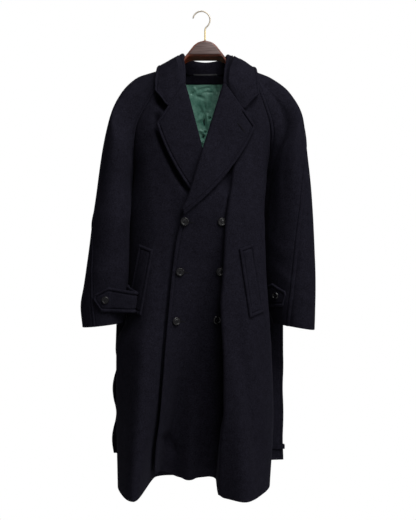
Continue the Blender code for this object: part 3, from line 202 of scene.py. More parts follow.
HANGER_X = 0.0096
HANGER_ROUNDING = 0.22
HEAD_LEAN = 0.0060
HEAD_REACH = 0.07
HEAD_FADE = 0.03
Rib = namedtuple("Rib", "out top foot half_depth")
RIBS = [
    Rib(0.0000, -0.0800, -0.1275, 0.0110), Rib(0.0180, -0.0850, -0.1275, 0.0110),
    Rib(0.0300, -0.0935, -0.1275, 0.0110), Rib(0.0377, -0.1029, -0.1280, 0.0110),
    Rib(0.0450, -0.1120, -0.1300, 0.0105), Rib(0.0503, -0.1185, -0.1340, 0.0100),
    Rib(0.0560, -0.1270, -0.1400, 0.0100), Rib(0.0600, -0.1400, -0.1520, 0.0100),
    Rib(0.0650, -0.1490, -0.1600, 0.0104), Rib(0.0800, -0.1545, -0.1700, 0.0110),
    Rib(0.1286, -0.1678, -0.1855, 0.0120), Rib(0.1846, -0.1935, -0.2100, 0.0130),
    Rib(0.2000, -0.2080, -0.2170, 0.0090),
]
rib_at = curve_through(RIBS)
arm = np.linspace(0, RIBS[-1].out, 70)
rings = []
for out in np.concatenate([-arm[:0:-1], arm]):
    top, foot, depth = rib_at(abs(out))
    y, up = squared_ring(41, HANGER_ROUNDING).T * ((depth,), (1.0,))
    lean = HEAD_LEAN * y / depth * step(-up) * step((HEAD_REACH - abs(out)) / HEAD_FADE)
    ring = np.column_stack([np.full(len(y), HANGER_X + out), y, mix((foot, top), (up + 1) / 2) - lean])
    ring[-1] = ring[0]
    rings.append(ring)

# Varnished beech: long darker pores of 0.4 by 9 mm along the arms under a clear glossy coat.
beech, where = new_material("stained varnished beech", {
    "Roughness": 0.38, "IOR": 1.5, "Coat Weight": 0.25, "Coat Roughness": 0.18,
})
along_arm = add_node(beech, "Mapping", {"Vector": where, "Scale": (0.045, 1.0, 1.0)})
pores = add_node(beech, "TexNoise", {"Vector": along_arm, "Scale": 900.0, "Detail": 3.0})
bands = add_node(beech, "TexNoise", {"Vector": along_arm, "Scale": 160.0, "Detail": 2.0})
grain = add_node(beech, "Math", {0: pores, 1: bands}, operation="MULTIPLY")
add_node(beech, "ValToRGB", {"Fac": grain}, to="Base Color", stops=((0.12, "#3f1207"), (0.42, "#96421c")))
add_node(beech, "Bump", {"Height": pores, "Strength": 0.12, "Distance": 0.0004}, to="Normal")
add_piece("hanger_wood", capped_tube(rings), beech, "stained_wood", "hanger")

# Hanger's face
# A thin plate of darker lacquered wood, let on to the front of the head with a low bevel all round.
# It is bare.
PLATE_SCALE = 0.89
PLATE_TOP = -0.0842
PLATE_FOOT = -0.1190
PLATE_BACK = -0.0108
PLATE_THICKNESS = 0.0026
PLATE_BEVEL = 0.0018
dome = [(r.out, r.top) for r in RIBS[:6]]
half = np.linspace(0, dome[-1][0], 16)
rise = (PLATE_TOP - PLATE_FOOT) / (dome[0][1] - dome[-1][1])
outline = np.column_stack([half * PLATE_SCALE, PLATE_FOOT + (curve_through(dome)(half) - dome[-1][1]) * rise])
outline = np.vstack([outline[:0:-1] * (-1, 1), outline])
bm = bmesh.new()
face = bm.faces.new([bm.verts.new((HANGER_X + x, PLATE_BACK, z)) for x, z in outline])
made = bmesh.ops.extrude_face_region(bm, geom=[face])["geom"]
front = [g for g in made if isinstance(g, bmesh.types.BMVert)]
bmesh.ops.translate(bm, verts=front, vec=(0, -PLATE_THICKNESS, 0))
rim = [e for e in bm.edges if all(v.co.y < PLATE_BACK - PLATE_THICKNESS / 2 for v in e.verts)]
bmesh.ops.bevel(bm, geom=rim, offset=PLATE_BEVEL, segments=3, profile=0.5, affect="EDGES", material=-1)

# Satin lacquer on a dark fruitwood: fine streaks of 0.5 by 12 mm and a milky gloss. The pale tone of the
# streaks is painted reflection of that gloss.
fruitwood, where = new_material("satin lacquered fruitwood", {
    "Roughness": 0.42, "IOR": 1.5, "Specular IOR Level": 0.30,
})
lengthwise = add_node(fruitwood, "Mapping", {"Vector": where, "Scale": (0.04, 1.0, 1.0)})
streaks_and_painted_reflection = add_node(fruitwood, "TexNoise", {"Vector": lengthwise, "Scale": 700.0, "Detail": 4.0})
# The dark stop is the wood's own tone; the pale stop is painted reflection of the lacquer.
add_node(fruitwood, "ValToRGB", {"Fac": streaks_and_painted_reflection}, to="Base Color",
         stops=((0.32, "#4a3836"), (0.68, "#7d6865")))
plate = add_piece("hanger_face", bm, fruitwood, "lacquered_wood", "hanger_plate")
plate.data.set_sharp_from_angle(angle=math.radians(40))

# Hook
# A hook bent from 4 mm steel wire, brass plated, with the plating worn to steel on the bow. It turns in
# the head.
WIRE = 0.0020
WIRE_TIP = (0.15, 0.55, 0.80, 0.94)
HOOK_RADIUS = 0.0235
SHANK_TOP = -0.049
SHANK_FOOT = -0.0805


def through_four(a, b, c, d, t):
    """The smooth way from b to c of a curve through four points."""
    square = 2 * a - 5 * b + 4 * c - d
    cube = 3 * b - a - 3 * c + d
    return 0.5 * (2 * b + (c - a) * t + square * t ** 2 + cube * t ** 3)


def smooth_path(points, parts):
    """A rounded line through points."""
    points = np.asarray(points, float)
    ends = np.vstack([2 * points[0] - points[1], points, 2 * points[-1] - points[-2]])
    t = np.linspace(0, 1, parts, endpoint=False)[:, None]
    made = [through_four(*ends[i : i + 4], t) for i in range(len(points) - 1)]
    return np.vstack([*made, points[-1:]])


def round_section(path, tangents, across, radius, sides):
    """Rings of points round a path. The first ring's own direction is across."""
    angle = np.linspace(0, 2 * math.pi, sides + 1)
    side = unit(np.cross(tangents, across))
    other = unit(np.cross(side, tangents))
    round_off = side[:, None] * np.cos(angle)[:, None] + other[:, None] * np.sin(angle)[:, None]
    return path[:, None] + round_off * np.reshape(radius, (-1, 1, 1))


turn = np.radians(np.linspace(174, -30, 60))
bow = np.array([0.0, WIRE - HOOK_RADIUS]) + HOOK_RADIUS * np.column_stack([np.cos(turn), np.sin(turn)])
sweep = [(0.0165, -0.0388), (0.0116, -0.0438), (HANGER_X + 0.0003, -0.0482), (HANGER_X, SHANK_TOP - 0.005)]
neck = smooth_path([bow[-8], bow[-1], *sweep, (HANGER_X, SHANK_TOP - 0.015)], 8)[9:-8]
shank = [(HANGER_X, z) for z in np.linspace(SHANK_TOP - 0.006, SHANK_FOOT, 8)]
line = np.vstack([bow, neck, shank])
path = np.column_stack([line[:, 0], 0 * line[:, 0], line[:, 1]])
thick = np.full(len(path), WIRE)
thick[: len(WIRE_TIP)] *= WIRE_TIP
wire = round_section(path, unit(np.gradient(path, axis=0)), (0.0, 1.0, 0.0), thick, 20)

# Brass plating over steel: yellow on the shank, rubbed through to grey above, with fine drawn scratches.
plated_steel, where = new_material("worn brass-plated steel", {"Metallic": 1.0, "Roughness": 0.35})
height = add_node(plated_steel, "SeparateXYZ", {"Vector": where}, "Z")
blotches = add_node(plated_steel, "TexNoise", {"Vector": where, "Scale": 180.0, "Detail": 3.0})
shifted = add_node(plated_steel, "Math", {0: blotches, 1: 0.012}, operation="MULTIPLY")
level = add_node(plated_steel, "Math", {0: height, 1: shifted}, operation="ADD")
worn = add_node(plated_steel, "MapRange", {"Value": level, "From Min": -0.050, "From Max": -0.036})
add_node(plated_steel, "Mix", {0: worn, 6: "#e9cf86", 7: "#cabfae"}, 2, "Base Color", data_type="RGBA")
add_node(plated_steel, "MapRange", {"Value": blotches, "To Min": 0.32, "To Max": 0.52}, to="Roughness")
add_piece("hook_wire", capped_tube(wire), plated_steel, "plated_wire", "hanger_hook")

# Fronts and back
# Three panels of heavy melton, 3 mm thick, joined at the side seams. The wearer's left front laps over the
# right one. They hang from the shoulders in columns, and the middle of the front falls back between two.
CLOTH = 0.003
FRONT_NECK = -0.204
BACK_NECK = -0.160
ARMPIT = -0.457
BREAK = -0.564
HEM = -1.297
Section = namedtuple("Section", "height centre half_width front back drape")
BODY = [
    Section(-0.120, 0.010, 0.190, 0.040, 0.060, 0.000),
    Section(-0.160, 0.010, 0.200, 0.054, 0.068, 0.000),
    Section(-0.214, 0.010, 0.208, 0.070, 0.078, 0.000),
    Section(-0.300, 0.005, 0.208, 0.088, 0.088, 0.000),
    Section(-0.380, 0.000, 0.192, 0.098, 0.090, 0.004),
    Section(-0.457, -0.004, 0.181, 0.104, 0.090, 0.010),
    Section(-0.560, -0.017, 0.182, 0.107, 0.091, 0.018),
    Section(-0.700, -0.0175, 0.1855, 0.101, 0.094, 0.020),
    Section(-0.845, -0.0135, 0.1945, 0.103, 0.100, 0.016),
    Section(-0.910, -0.021, 0.212, 0.105, 0.106, 0.006),
    Section(-1.100, -0.018, 0.215, 0.100, 0.116, 0.006),
    Section(-1.320, -0.021, 0.207, 0.094, 0.128, 0.000),
]
SQUARENESS = 0.85
SECTION_POINTS = 721
SEAM_WINDOW = 8
DRAPE_START = 0.35
FOLD_GROWTH = 1.25
Fold = namedtuple("Fold", "top hem start crest reach_left reach_right")
FRONT_FOLDS = [
    Fold(-0.125, -0.178, -0.52, 0.090, 0.044, 0.044),
    Fold(0.100, 0.118, -0.36, 0.085, 0.062, 0.052),
]
OVER_FOLDS = [Fold(-0.020, -0.034, -1.02, 0.036, 0.026, 0.028)]
BACK_FOLDS = [
    Fold(-0.100, -0.125, -0.50, 0.022, 0.040, 0.046),
    Fold(0.000, -0.010, -0.66, -0.030, 0.046, 0.040),
    Fold(0.090, 0.105, -0.46, 0.026, 0.050, 0.040),
]
RECESS_START = -0.45
RECESS_DEPTH = 0.125
RECESS_GROWTH = 1.3
RECESS_LEFT = (0.035, -0.148)
RECESS_SOFT_LEFT = (0.070, 0.022)
Dive = namedtuple("Dive", "height edge soft depth width lean")
DIVES = [
    Dive(-0.430, 0.0810, 0.0110, 0.000, 0.014, 0.000), Dive(-0.490, 0.0745, 0.0090, 0.010, 0.012, 0.000),
    Dive(-0.540, 0.0695, 0.0065, 0.022, 0.010, 0.003), Dive(-0.597, 0.0643, 0.0045, 0.034, 0.009, 0.009),
    Dive(-0.660, 0.0605, 0.0040, 0.045, 0.007, 0.013), Dive(-0.713, 0.0580, 0.0040, 0.055, 0.006, 0.014),
    Dive(-0.760, 0.0535, 0.0045, 0.060, 0.008, 0.014), Dive(-0.800, 0.0510, 0.0045, 0.075, 0.010, 0.014),
    Dive(-0.848, 0.0525, 0.0045, 0.090, 0.011, 0.014), Dive(-0.950, 0.0565, 0.0045, 0.100, 0.013, 0.014),
    Dive(-1.080, 0.0565, 0.0045, 0.085, 0.013, 0.013), Dive(-1.150, 0.0490, 0.0045, 0.055, 0.012, 0.010),
    Dive(-1.297, 0.0430, 0.0050, 0.008, 0.012, 0.004),
]
LEAN_REACH = 0.032
CORNER = 0.008
Edge = namedtuple("Edge", "height across")
OVER_EDGE = [
    Edge(-0.564, -0.0495), Edge(-0.655, -0.0690), Edge(-0.835, -0.0870), Edge(-0.965, -0.0965),
    Edge(-1.103, -0.1065), Edge(-1.216, -0.1190), Edge(-1.320, -0.1270),
]
UNDER_EDGE = [Edge(-0.564, 0.050), Edge(-0.800, 0.028), Edge(-1.320, 0.010)]
HEM_LIFT_CENTRE = 0.014
HEM_LIFT_CORNER = 0.020
HEM_LIFT_ZONE = 0.30
HEM_LIFT_ACROSS = (-0.165, 0.060)
HEM_CORNER_START = -0.055
OVERLAP_RISE = 0.0070
OVERLAP_RAMP = 0.055
OVERLAP_MARGIN = 0.012
OVERLAP_TOP = -0.32
TUCK_RISE = 0.0062
TUCK_TOP = -0.36
TUCK_FOOT = -0.60
TUCK_ACROSS = 0.050
EDGE_FLARE = 0.010
FLARE_TOP = -0.88
FLARE_GROWTH = 0.3
FLARE_WIDTH = 0.05
Revers = namedtuple("Revers", "side roll_top roll_foot notch tip foot belly collar_tip")
REVERS = {
    "right": Revers(-1, (-0.041, -0.214), (0.009, -0.410), (-0.0821, -0.2767), (-0.1166, -0.3215),
                    (-0.026, -0.503), 0.008, (-0.1194, -0.2333)),
    "left": Revers(1, (0.0575, -0.214), (-0.0470, -0.556), (0.1127, -0.2809), (0.1412, -0.3288),
                   (-0.0455, -0.566), 0.020, (0.1504, -0.2418)),
}
OVER_ROLL_FOOT = (-0.0495, BREAK)
UNDER_ROLL_FOOT = (0.050, BREAK)
ROLL_RADIUS = 0.0075
ROLL_FADE = 0.05
RAGLAN_START = {"right": 0.36, "left": 0.41}
RAGLAN_GROWTH = 1.15
BACK_RAGLAN_START = 0.18
NAME_OF = {-1: "right", 1: "left"}
body_at = curve_through(BODY)
over_edge_at = curve_through(OVER_EDGE)
under_edge_at = curve_through(UNDER_EDGE)
dive_at = curve_through(DIVES)


def growth_at(start, z):
    """How far a fold has grown at a height: 0 where it starts and 1 at the hem."""
    return np.clip((start - z) / (start - HEM), 0.0, 1.1)


def fold_heave(folds, x, z):
    """How far the hanging folds push each point of a section outwards."""
    heave = np.zeros_like(x)
    for fold in folds:
        growth = growth_at(fold.start, z)
        offset = x - mix((fold.top, fold.hem), growth)
        reach = np.where(offset < 0, fold.reach_left, fold.reach_right)
        heave += fold.crest * growth ** FOLD_GROWTH * np.exp(-((offset / reach) ** 2))
    return heave


def recess(x, z):
    """How far the middle of the front hangs back, and how far the fold beside it leans over it."""
    growth = float(growth_at(RECESS_START, z))
    left = step((x - mix(RECESS_LEFT, growth)) / mix(RECESS_SOFT_LEFT, growth) / 2 + 0.5)
    edge, soft, depth, width, lean = dive_at(z)
    wall = edge + lean
    right = step((wall - x) / soft / 2 + 0.5)
    dive = depth * np.exp(np.minimum(x - wall, 0.0) / width)
    over = lean * (1 - right) * np.exp(-((np.maximum(x - wall - soft, 0.0) / LEAN_REACH) ** 2))
    return (RECESS_DEPTH * growth ** RECESS_GROWTH * left + dive) * right, over


def half_oval(centre, half):
    """A squared half oval from seam to seam: share, x, depth and a window that shuts at the seams."""
    share = np.linspace(-1.0, 1.0, SECTION_POINTS)
    angle = share * math.pi / 2
    x = centre + half * np.sign(angle) * np.abs(np.sin(angle)) ** SQUARENESS
    return share, x, np.maximum(np.cos(angle), 0.0) ** SQUARENESS, 1.0 - np.abs(share) ** SEAM_WINDOW


def front_section(z):
    """The front's section at a height, from the right side seam to the left one: share, x and y."""
    centre, half, front, _, drape = body_at(z)
    share, x, deep, window = half_oval(centre, half)
    sunk, over = recess(x, z)
    y = -front * deep + window * (sunk - fold_heave(FRONT_FOLDS, x, z))
    draped = np.clip((share - DRAPE_START) / (1 - DRAPE_START), 0, 1)
    return share, x - over + drape * np.sin(math.pi * draped) ** 2, y


def back_section(z):
    """The back's section at a height, from the right side seam round to the left one: share, x and y."""
    centre, half, _, back, _ = body_at(z)
    share, x, deep, window = half_oval(centre, half)
    return share, x, back * deep + window * fold_heave(BACK_FOLDS, x, z)


def roll_x(revers, z):
    """Place of a front's roll line, taken in by the radius of the roll, which shows where the line is."""
    foot = OVER_ROLL_FOOT if revers.side > 0 else UNDER_ROLL_FOOT
    share = (z - foot[1]) / (revers.roll_top[1] - foot[1])
    taken_in = revers.side * ROLL_RADIUS * step((z - BREAK) / ROLL_FADE)
    return mix((foot[0], revers.roll_top[0]), share) + taken_in


def front_edge(side, z):
    """Place of a front's own edge: its roll line above the break and its cut edge below."""
    if z > BREAK:
        return float(roll_x(REVERS[NAME_OF[side]], z))
    return float((over_edge_at if side > 0 else under_edge_at)(z) + side * rounded(z - HEM, CORNER))


def overlap_rise(x, z):
    """How far the overlapping front lies above the other one."""
    under = under_edge_at(np.clip(z, HEM - 0.02, BREAK)) if z < BREAK else roll_x(REVERS["right"], z)
    cover = step((under + OVERLAP_MARGIN + OVERLAP_RAMP - x) / OVERLAP_RAMP)
    below_neck = step((OVERLAP_TOP - z) / 0.06)
    tuck = step((z - TUCK_FOOT) / 0.06) * step((TUCK_TOP - z) / 0.04) * step((TUCK_ACROSS - x) / 0.06)
    edge = over_edge_at(np.clip(z, HEM - 0.02, BREAK))
    flare = EDGE_FLARE * step((FLARE_TOP - z) / FLARE_GROWTH) * step((edge + FLARE_WIDTH - x) / FLARE_WIDTH)
    return OVERLAP_RISE * cover * below_neck + TUCK_RISE * tuck + flare + fold_heave(OVER_FOLDS, x, z)


def front_profile(side, z):
    """One front's section with its layer's rise: share, x, y and the outward normal in the section."""
    share, x, y = front_section(z)
    dx = np.gradient(x)
    dy = np.gradient(y)
    length = np.maximum(np.hypot(dx, dy), 1e-12)
    nx = dy / length
    ny = -dx / length
    if side > 0:
        rise = overlap_rise(x, z)
        x = x + nx * rise
        y = y + ny * rise
    return share, x, y, nx, ny


def share_at(side, x, z):
    """Share of the section at a place across."""
    share, xs, _, _, _ = front_profile(side, z)
    middle = np.abs(share) < 0.9
    return float(np.interp(x, np.maximum.accumulate(xs[middle]), share[middle]))


def raglan_share(start, top, z):
    return start + (1.0 - start) * np.clip((top - z) / (top - ARMPIT), 0.0, 1.0) ** RAGLAN_GROWTH


def hem_lift(side, x, z):
    """The hem hangs a little higher in the middle and at the corner of the overlapping front."""
    near = step((HEM + HEM_LIFT_ZONE - z) / HEM_LIFT_ZONE)
    middle = step((x - HEM_LIFT_ACROSS[0]) / 0.04) * step((HEM_LIFT_ACROSS[1] - x) / 0.03)
    corner = step((HEM_CORNER_START - x) / 0.07) if side > 0 else 0.0
    return near * (HEM_LIFT_CENTRE * middle + HEM_LIFT_CORNER * corner)


def run_of(line):
    """Lengths along a line of points, from its start."""
    return np.concatenate([[0.0], np.cumsum(np.linalg.norm(np.diff(line, axis=0), axis=1))])


def spaced(length, first, last, count):
    """Places along a length: those of its worked ends, and even ones between."""
    middle = np.linspace(first[-1], length - last[-1], count + 1)[1:-1]
    return np.concatenate([first, middle, (length - last)[::-1]])


def points_at(line, run, wanted):
    """Points of a line at wanted lengths along it."""
    return np.stack([np.interp(wanted, run, column) for column in line.T], axis=-1)


def laid_out(line, first, last, count):
    """Points of a line at spaced places."""
    run = run_of(line[:, :3])
    return points_at(line, run, spaced(run[-1], first, last, count))


# Columns and rows stand close together where an edge is rounded, stitched or sewn, in metres from it.
STITCHED = np.array([0, 4, 9, 15, 24, 40, 58, 72, 81, 90, 99, 110, 130, 165]) * 1e-4
SEWN = np.array([0, 7, 14, 24, 45]) * 1e-4
TURNED = np.array([0, 4, 9, 15, 24, 45]) * 1e-4
ROWS_BELOW = 105
ROWS_ABOVE = 44
below = HEM + spaced(ARMPIT - HEM, TURNED, np.zeros(1), ROWS_BELOW)
front_heights = np.concatenate([below, np.linspace(ARMPIT, FRONT_NECK, ROWS_ABOVE + 1)[1:]])
back_heights = np.concatenate([below, np.linspace(ARMPIT, BACK_NECK, ROWS_ABOVE + 1)[1:]])


def cut_row(section, ends, points, first, columns):
    """A section of a panel between two shares, laid out from its edge to its seam."""
    kept = np.linspace(*ends, points)
    line = np.column_stack([np.interp(kept, section[0], values) for values in section[1:3]])
    return laid_out(line, first, SEWN, columns)


def front_grid(side, columns):
    """Rows of points from the hem up, each from the front edge to the side seam or the raglan seam."""
    rows = []
    for z in front_heights:
        raglan = raglan_share(RAGLAN_START[NAME_OF[side]], FRONT_NECK, z)
        ends = share_at(side, front_edge(side, z), z), side * raglan if z > ARMPIT else side
        line = cut_row(front_profile(side, z), ends, 500, STITCHED, columns)
        rows.append(np.column_stack([line, z + hem_lift(side, line[:, 0], z)]))
    return np.array(rows)


def back_grid(columns):
    """Rows of points from the hem up, each from the right side or raglan seam to the left one."""
    rows = []
    for z in back_heights:
        limit = raglan_share(BACK_RAGLAN_START, BACK_NECK, z) if z > ARMPIT else 1.0
        line = cut_row(back_section(z), (-limit, limit), 700, SEWN, columns)
        rows.append(np.column_stack([line, np.full(len(line), z)]))
    return np.array(rows)


def grid_normals(grid, outward):
    """Unit normals of a grid of points, turned as a whole to the outward side."""
    normals = unit(np.cross(np.gradient(grid, axis=0), np.gradient(grid, axis=1)))
    return normals if (normals * outward).sum() > 0 else -normals


def lengths(grid, axis):
    """Lengths along a grid's rows (axis 1) or columns (axis 0) from their starts."""
    sides = np.linalg.norm(np.diff(grid, axis=axis), axis=-1)
    return np.pad(np.cumsum(sides, axis=axis), [(1 - axis, 0), (axis, 0)])


def from_border(grid, *borders):
    """Distance of each point to the nearest of the named borders, or of all four."""
    across = lengths(grid, 1)
    up = lengths(grid, 0)
    every = {
        "first column": across, "last column": across[:, -1:] - across,
        "first row": up, "last row": up[-1:] - up,
    }
    return np.minimum.reduce([every[b] for b in borders or every])


def rounded(distance, radius):
    """How far a rounded edge has fallen away at a distance from it."""
    inside = np.clip(distance / radius, 0.0, 1.0)
    return radius * (1.0 - np.sqrt(1.0 - (1.0 - inside) ** 2))


BEAD_WIDTH = 0.0085
STITCH_PLACE = 0.0095
STITCH_REACH = 0.0014
SEAM_REACH = 0.0016


def swelled(distance, depth=0.0015):
    """A swelled edge: a row of stitches 9 mm in sinks a groove, and the edge beyond it stands up a little."""
    bead = 0.8 * depth * np.sin(math.pi * np.clip(distance / BEAD_WIDTH, 0.0, 1.0)) ** 0.8
    return bead - depth * np.exp(-(((distance - STITCH_PLACE) / STITCH_REACH) ** 2))


def sewn(distance, depth=0.0011):
    """A plain seam: both sides dip into it."""
    return -depth * np.exp(-((distance / SEAM_REACH) ** 2))


Crease = namedtuple("Crease", "path reach_left reach_right height")


def creases(folds, a, b):
    """Height of listed creases at places a across and b up. Each fades at both ends of its path."""
    total = np.zeros_like(a)
    for fold in folds:
        path = np.array(fold.path, float)
        run = run_of(path)
        nearest = np.full_like(a, 1e9)
        share = np.zeros_like(a)
        left = np.zeros_like(a)
        for k in range(len(path) - 1):
            way = path[k + 1] - path[k]
            t = np.clip(((a - path[k][0]) * way[0] + (b - path[k][1]) * way[1]) / (way @ way), 0, 1)
            da = a - path[k][0] - way[0] * t
            db = b - path[k][1] - way[1] * t
            distance = np.hypot(da, db)
            closer = distance < nearest
            nearest = np.where(closer, distance, nearest)
            share = np.where(closer, (run[k] + (run[k + 1] - run[k]) * t) / run[-1], share)
            left = np.where(closer, way[0] * db - way[1] * da, left)
        reach = np.where(left > 0, fold.reach_left, fold.reach_right)
        total += fold.height * np.sin(math.pi * share) ** 0.7 * np.exp(-((nearest / reach) ** 2))
    return total


def cloth_piece(name, outer, inner, edge, pressed, material, slot, node, **cut):
    """A wall of cloth between its showing side and its inner side, rounded over where edge is 0."""
    out = outer - inner
    thickness = np.linalg.norm(out, axis=-1)
    out = unit(out)
    lowered = rounded(edge, thickness.mean() / 2)[..., None]
    face = outer + out * (np.reshape(pressed, (*np.shape(pressed), 1)) - lowered)
    lining = inner + out * lowered
    uv = np.stack([lengths(outer, 1), lengths(outer, 0)], axis=-1)
    bm = mapped_grid(face, uv)
    place = bm.verts.layers.int["place"]
    inner_points = lining.reshape(-1, 3)
    for item in bmesh.ops.extrude_face_region(bm, geom=list(bm.faces))["geom"]:
        if isinstance(item, bmesh.types.BMVert):
            item.co = inner_points[item[place]]
    add_piece(name, bm, material, slot, node)


def melton_piece(node, outer, inner, edge, pressed=0.0, **cut):
    """A piece of the coat's own wool, named for its node."""
    cloth_piece(f"{node}_cloth", outer, inner, edge, pressed, melton, "wool_cloth", node, **cut)


# Blue-black melton: a fulled, napped wool whose weave is hidden. The nap gives clouds of 15 mm, a felted
# grain of about 1 mm, drawn at 3 mm so that it shows, pale hairs 3 mm long, and a soft bloom at the sides.
melton, where = new_material("blue-black wool melton", {
    "Roughness": 0.95, "IOR": 1.45, "Specular IOR Level": 0.02,
    "Sheen Weight": 0.02, "Sheen Roughness": 0.45, "Sheen Tint": "#a8a6c2",
})
clouds = add_node(melton, "TexNoise", {"Vector": where, "Scale": 66.0, "Detail": 3.0, "Roughness": 0.6})
felt = add_node(melton, "TexNoise", {"Vector": where, "Scale": 340.0, "Detail": 5.0, "Roughness": 0.75})
nap = add_node(melton, "Mix", {0: 0.82, 2: clouds, 3: felt})
shade = add_node(melton, "ValToRGB", {"Fac": nap}, stops=((0.36, "#111016"), (0.64, "#25242e")))
drawn_out = add_node(melton, "Mapping", {
    "Vector": where, "Rotation": (0.2, 0.4, 0.1), "Scale": (1.0, 1.0, 0.35),
})
hairs = add_node(melton, "TexVoronoi", {"Vector": drawn_out, "Scale": 85.0, "Randomness": 1.0}, "Distance")
lint = add_node(melton, "MapRange", {
    "Value": hairs, "From Min": 0.055, "From Max": 0.02, "To Min": 0.0, "To Max": 0.5,
})
add_node(melton, "Mix", {0: lint, 6: shade, 7: "#46454f"}, 2, "Base Color", data_type="RGBA")
add_node(melton, "Bump", {"Height": nap, "Strength": 0.6, "Distance": 0.0014}, to="Normal")

FRONT_CREASES = {
    "right": [
        Crease([(-0.190, -0.86), (-0.150, -0.93), (-0.125, -0.98)], 0.016, 0.022, 0.0022),
        Crease([(-0.200, -0.93), (-0.165, -0.99), (-0.140, -1.03)], 0.014, 0.018, 0.0016),
        Crease([(-0.150, -0.36), (-0.140, -0.47), (-0.120, -0.60)], 0.018, 0.026, 0.0030),
        Crease([(-0.085, -0.45), (-0.070, -0.56), (-0.075, -0.66)], 0.016, 0.020, -0.0018),
        Crease([(-0.1220, -0.290), (-0.1215, -0.325), (-0.0975, -0.384), (-0.0670, -0.447),
                (-0.0300, -0.512)], 0.018, 0.0080, -0.0280),
        Crease([(-0.1230, -0.230), (-0.1030, -0.262), (-0.0760, -0.290)], 0.013, 0.013, -0.0260),
        Crease([(-0.0530, -0.555), (-0.0720, -0.655), (-0.0900, -0.835), (-0.0990, -0.965), (-0.1090, -1.103),
                (-0.1210, -1.230)], 0.012, 0.0045, -0.0100),
        Crease([(-0.120, -0.70), (-0.118, -0.84), (-0.128, -0.95)], 0.012, 0.018, 0.0016),
    ],
    "left": [
        Crease([(-0.050, -0.87), (-0.030, -0.95), (0.010, -1.02)], 0.020, 0.014, 0.0024),
        Crease([(-0.075, -0.93), (-0.050, -1.02), (-0.020, -1.09)], 0.016, 0.012, 0.0016),
        Crease([(0.102, -0.335), (0.0885, -0.394), (0.0752, -0.433), (0.0690, -0.470), (0.0655, -0.510)],
               0.0085, 0.018, -0.0210),
        Crease([(0.1250, -0.300), (0.1440, -0.3300), (0.0950, -0.4130), (0.0415, -0.4820),
                (-0.0060, -0.5320)], 0.008, 0.012, -0.0085),
        Crease([(0.1180, -0.290), (0.1330, -0.272), (0.1500, -0.252)], 0.006, 0.006, -0.0060),
        Crease([(0.0960, -0.790), (0.1030, -0.915), (0.1270, -1.045), (0.1480, -1.175), (0.1600, -1.297)],
               0.018, 0.022, -0.0140),
        Crease([(-0.1010, -1.146), (-0.0880, -1.184), (-0.0700, -1.222)], 0.011, 0.011, -0.0115),
        Crease([(0.130, -0.42), (0.118, -0.54), (0.120, -0.64)], 0.016, 0.022, 0.0022),
        Crease([(0.095, -0.90), (0.110, -1.02), (0.118, -1.14)], 0.014, 0.020, 0.0022),
        Crease([(0.158, -0.90), (0.150, -1.05), (0.156, -1.20)], 0.010, 0.016, -0.0020),
        Crease([(-0.045, -0.62), (-0.010, -0.66), (0.030, -0.67)], 0.010, 0.012, 0.0012),
    ],
}
BACK_CREASES = [
    Crease([(-0.030, -0.27), (-0.070, -0.36), (-0.090, -0.47)], 0.018, 0.024, 0.0030),
    Crease([(0.050, -0.27), (0.085, -0.37), (0.098, -0.49)], 0.024, 0.018, 0.0032),
    Crease([(-0.060, -0.60), (0.000, -0.63), (0.060, -0.61)], 0.010, 0.014, 0.0022),
    Crease([(-0.150, -0.72), (-0.140, -0.88), (-0.150, -1.05)], 0.014, 0.020, -0.0024),
    Crease([(0.040, -0.74), (0.050, -0.90), (0.046, -1.08)], 0.016, 0.022, 0.0026),
]


def on_front(side, x, z, cloth=True):
    """The point of a front at a place across and a height, with its creases, and the outward normal there."""
    share, xs, ys, nx, ny = front_profile(side, z)
    middle = np.abs(share) < 0.9
    xs = np.maximum.accumulate(xs[middle] + np.arange(middle.sum()) * 1e-9)
    y, across, out = (np.interp(x, xs, v[middle]) for v in (ys, nx, ny))
    normal = unit(np.array([across, out, 0.0]))
    point = np.array([x, y, z])
    if cloth:
        point = point + normal * creases(FRONT_CREASES[NAME_OF[side]], np.array([x]), np.array([z]))[0]
    return point, normal


SEAM_FADE = 0.03
FRONT_CUTS = {"right": {"flat": (0.42, 1.09), "area": 0.345}, "left": {"flat": (0.56, 1.09), "area": 0.460}}
upright = np.array([0.0, 0.0, 1.0])
forward = np.array([0, -0.05, 0])
plain_fronts = {"right": front_grid(-1, 84), "left": front_grid(1, 104)}
front_out = {n: grid_normals(g, g * (1 - upright) + forward) for n, g in plain_fronts.items()}
for name, plain in plain_fronts.items():
    seam = from_border(plain, "last column")
    heave = creases(FRONT_CREASES[name], plain[..., 0], plain[..., 2]) * step(seam / SEAM_FADE)
    grid = plain + front_out[name] * heave[..., None]
    edge = from_border(grid, "first column", "first row")
    below_break = step((BREAK - 0.004 - grid[..., 2]) / 0.012)
    pressed = swelled(from_border(grid, "first column")) * below_break
    pressed = pressed + sewn(from_border(grid, "last column"))
    melton_piece(f"front_{name}", grid, grid - front_out[name] * CLOTH, edge, pressed,
                 **FRONT_CUTS[name], held="hung", rests_on=["hanger_wood"])

plain_back = back_grid(110)
back_out = grid_normals(plain_back, plain_back * (1 - upright) - forward)
seams = from_border(plain_back, "first column", "last column")
heave = creases(BACK_CREASES, plain_back[..., 0], plain_back[..., 2]) * step(seams / SEAM_FADE)
back = plain_back + back_out * heave[..., None]
pressed = sewn(from_border(back, "first column", "last column"))
melton_piece("back", back, back - back_out * CLOTH, from_border(back, "first row"), pressed,
             flat=(0.62, 1.14), area=0.526, held="hung", rests_on=["hanger_wood"])

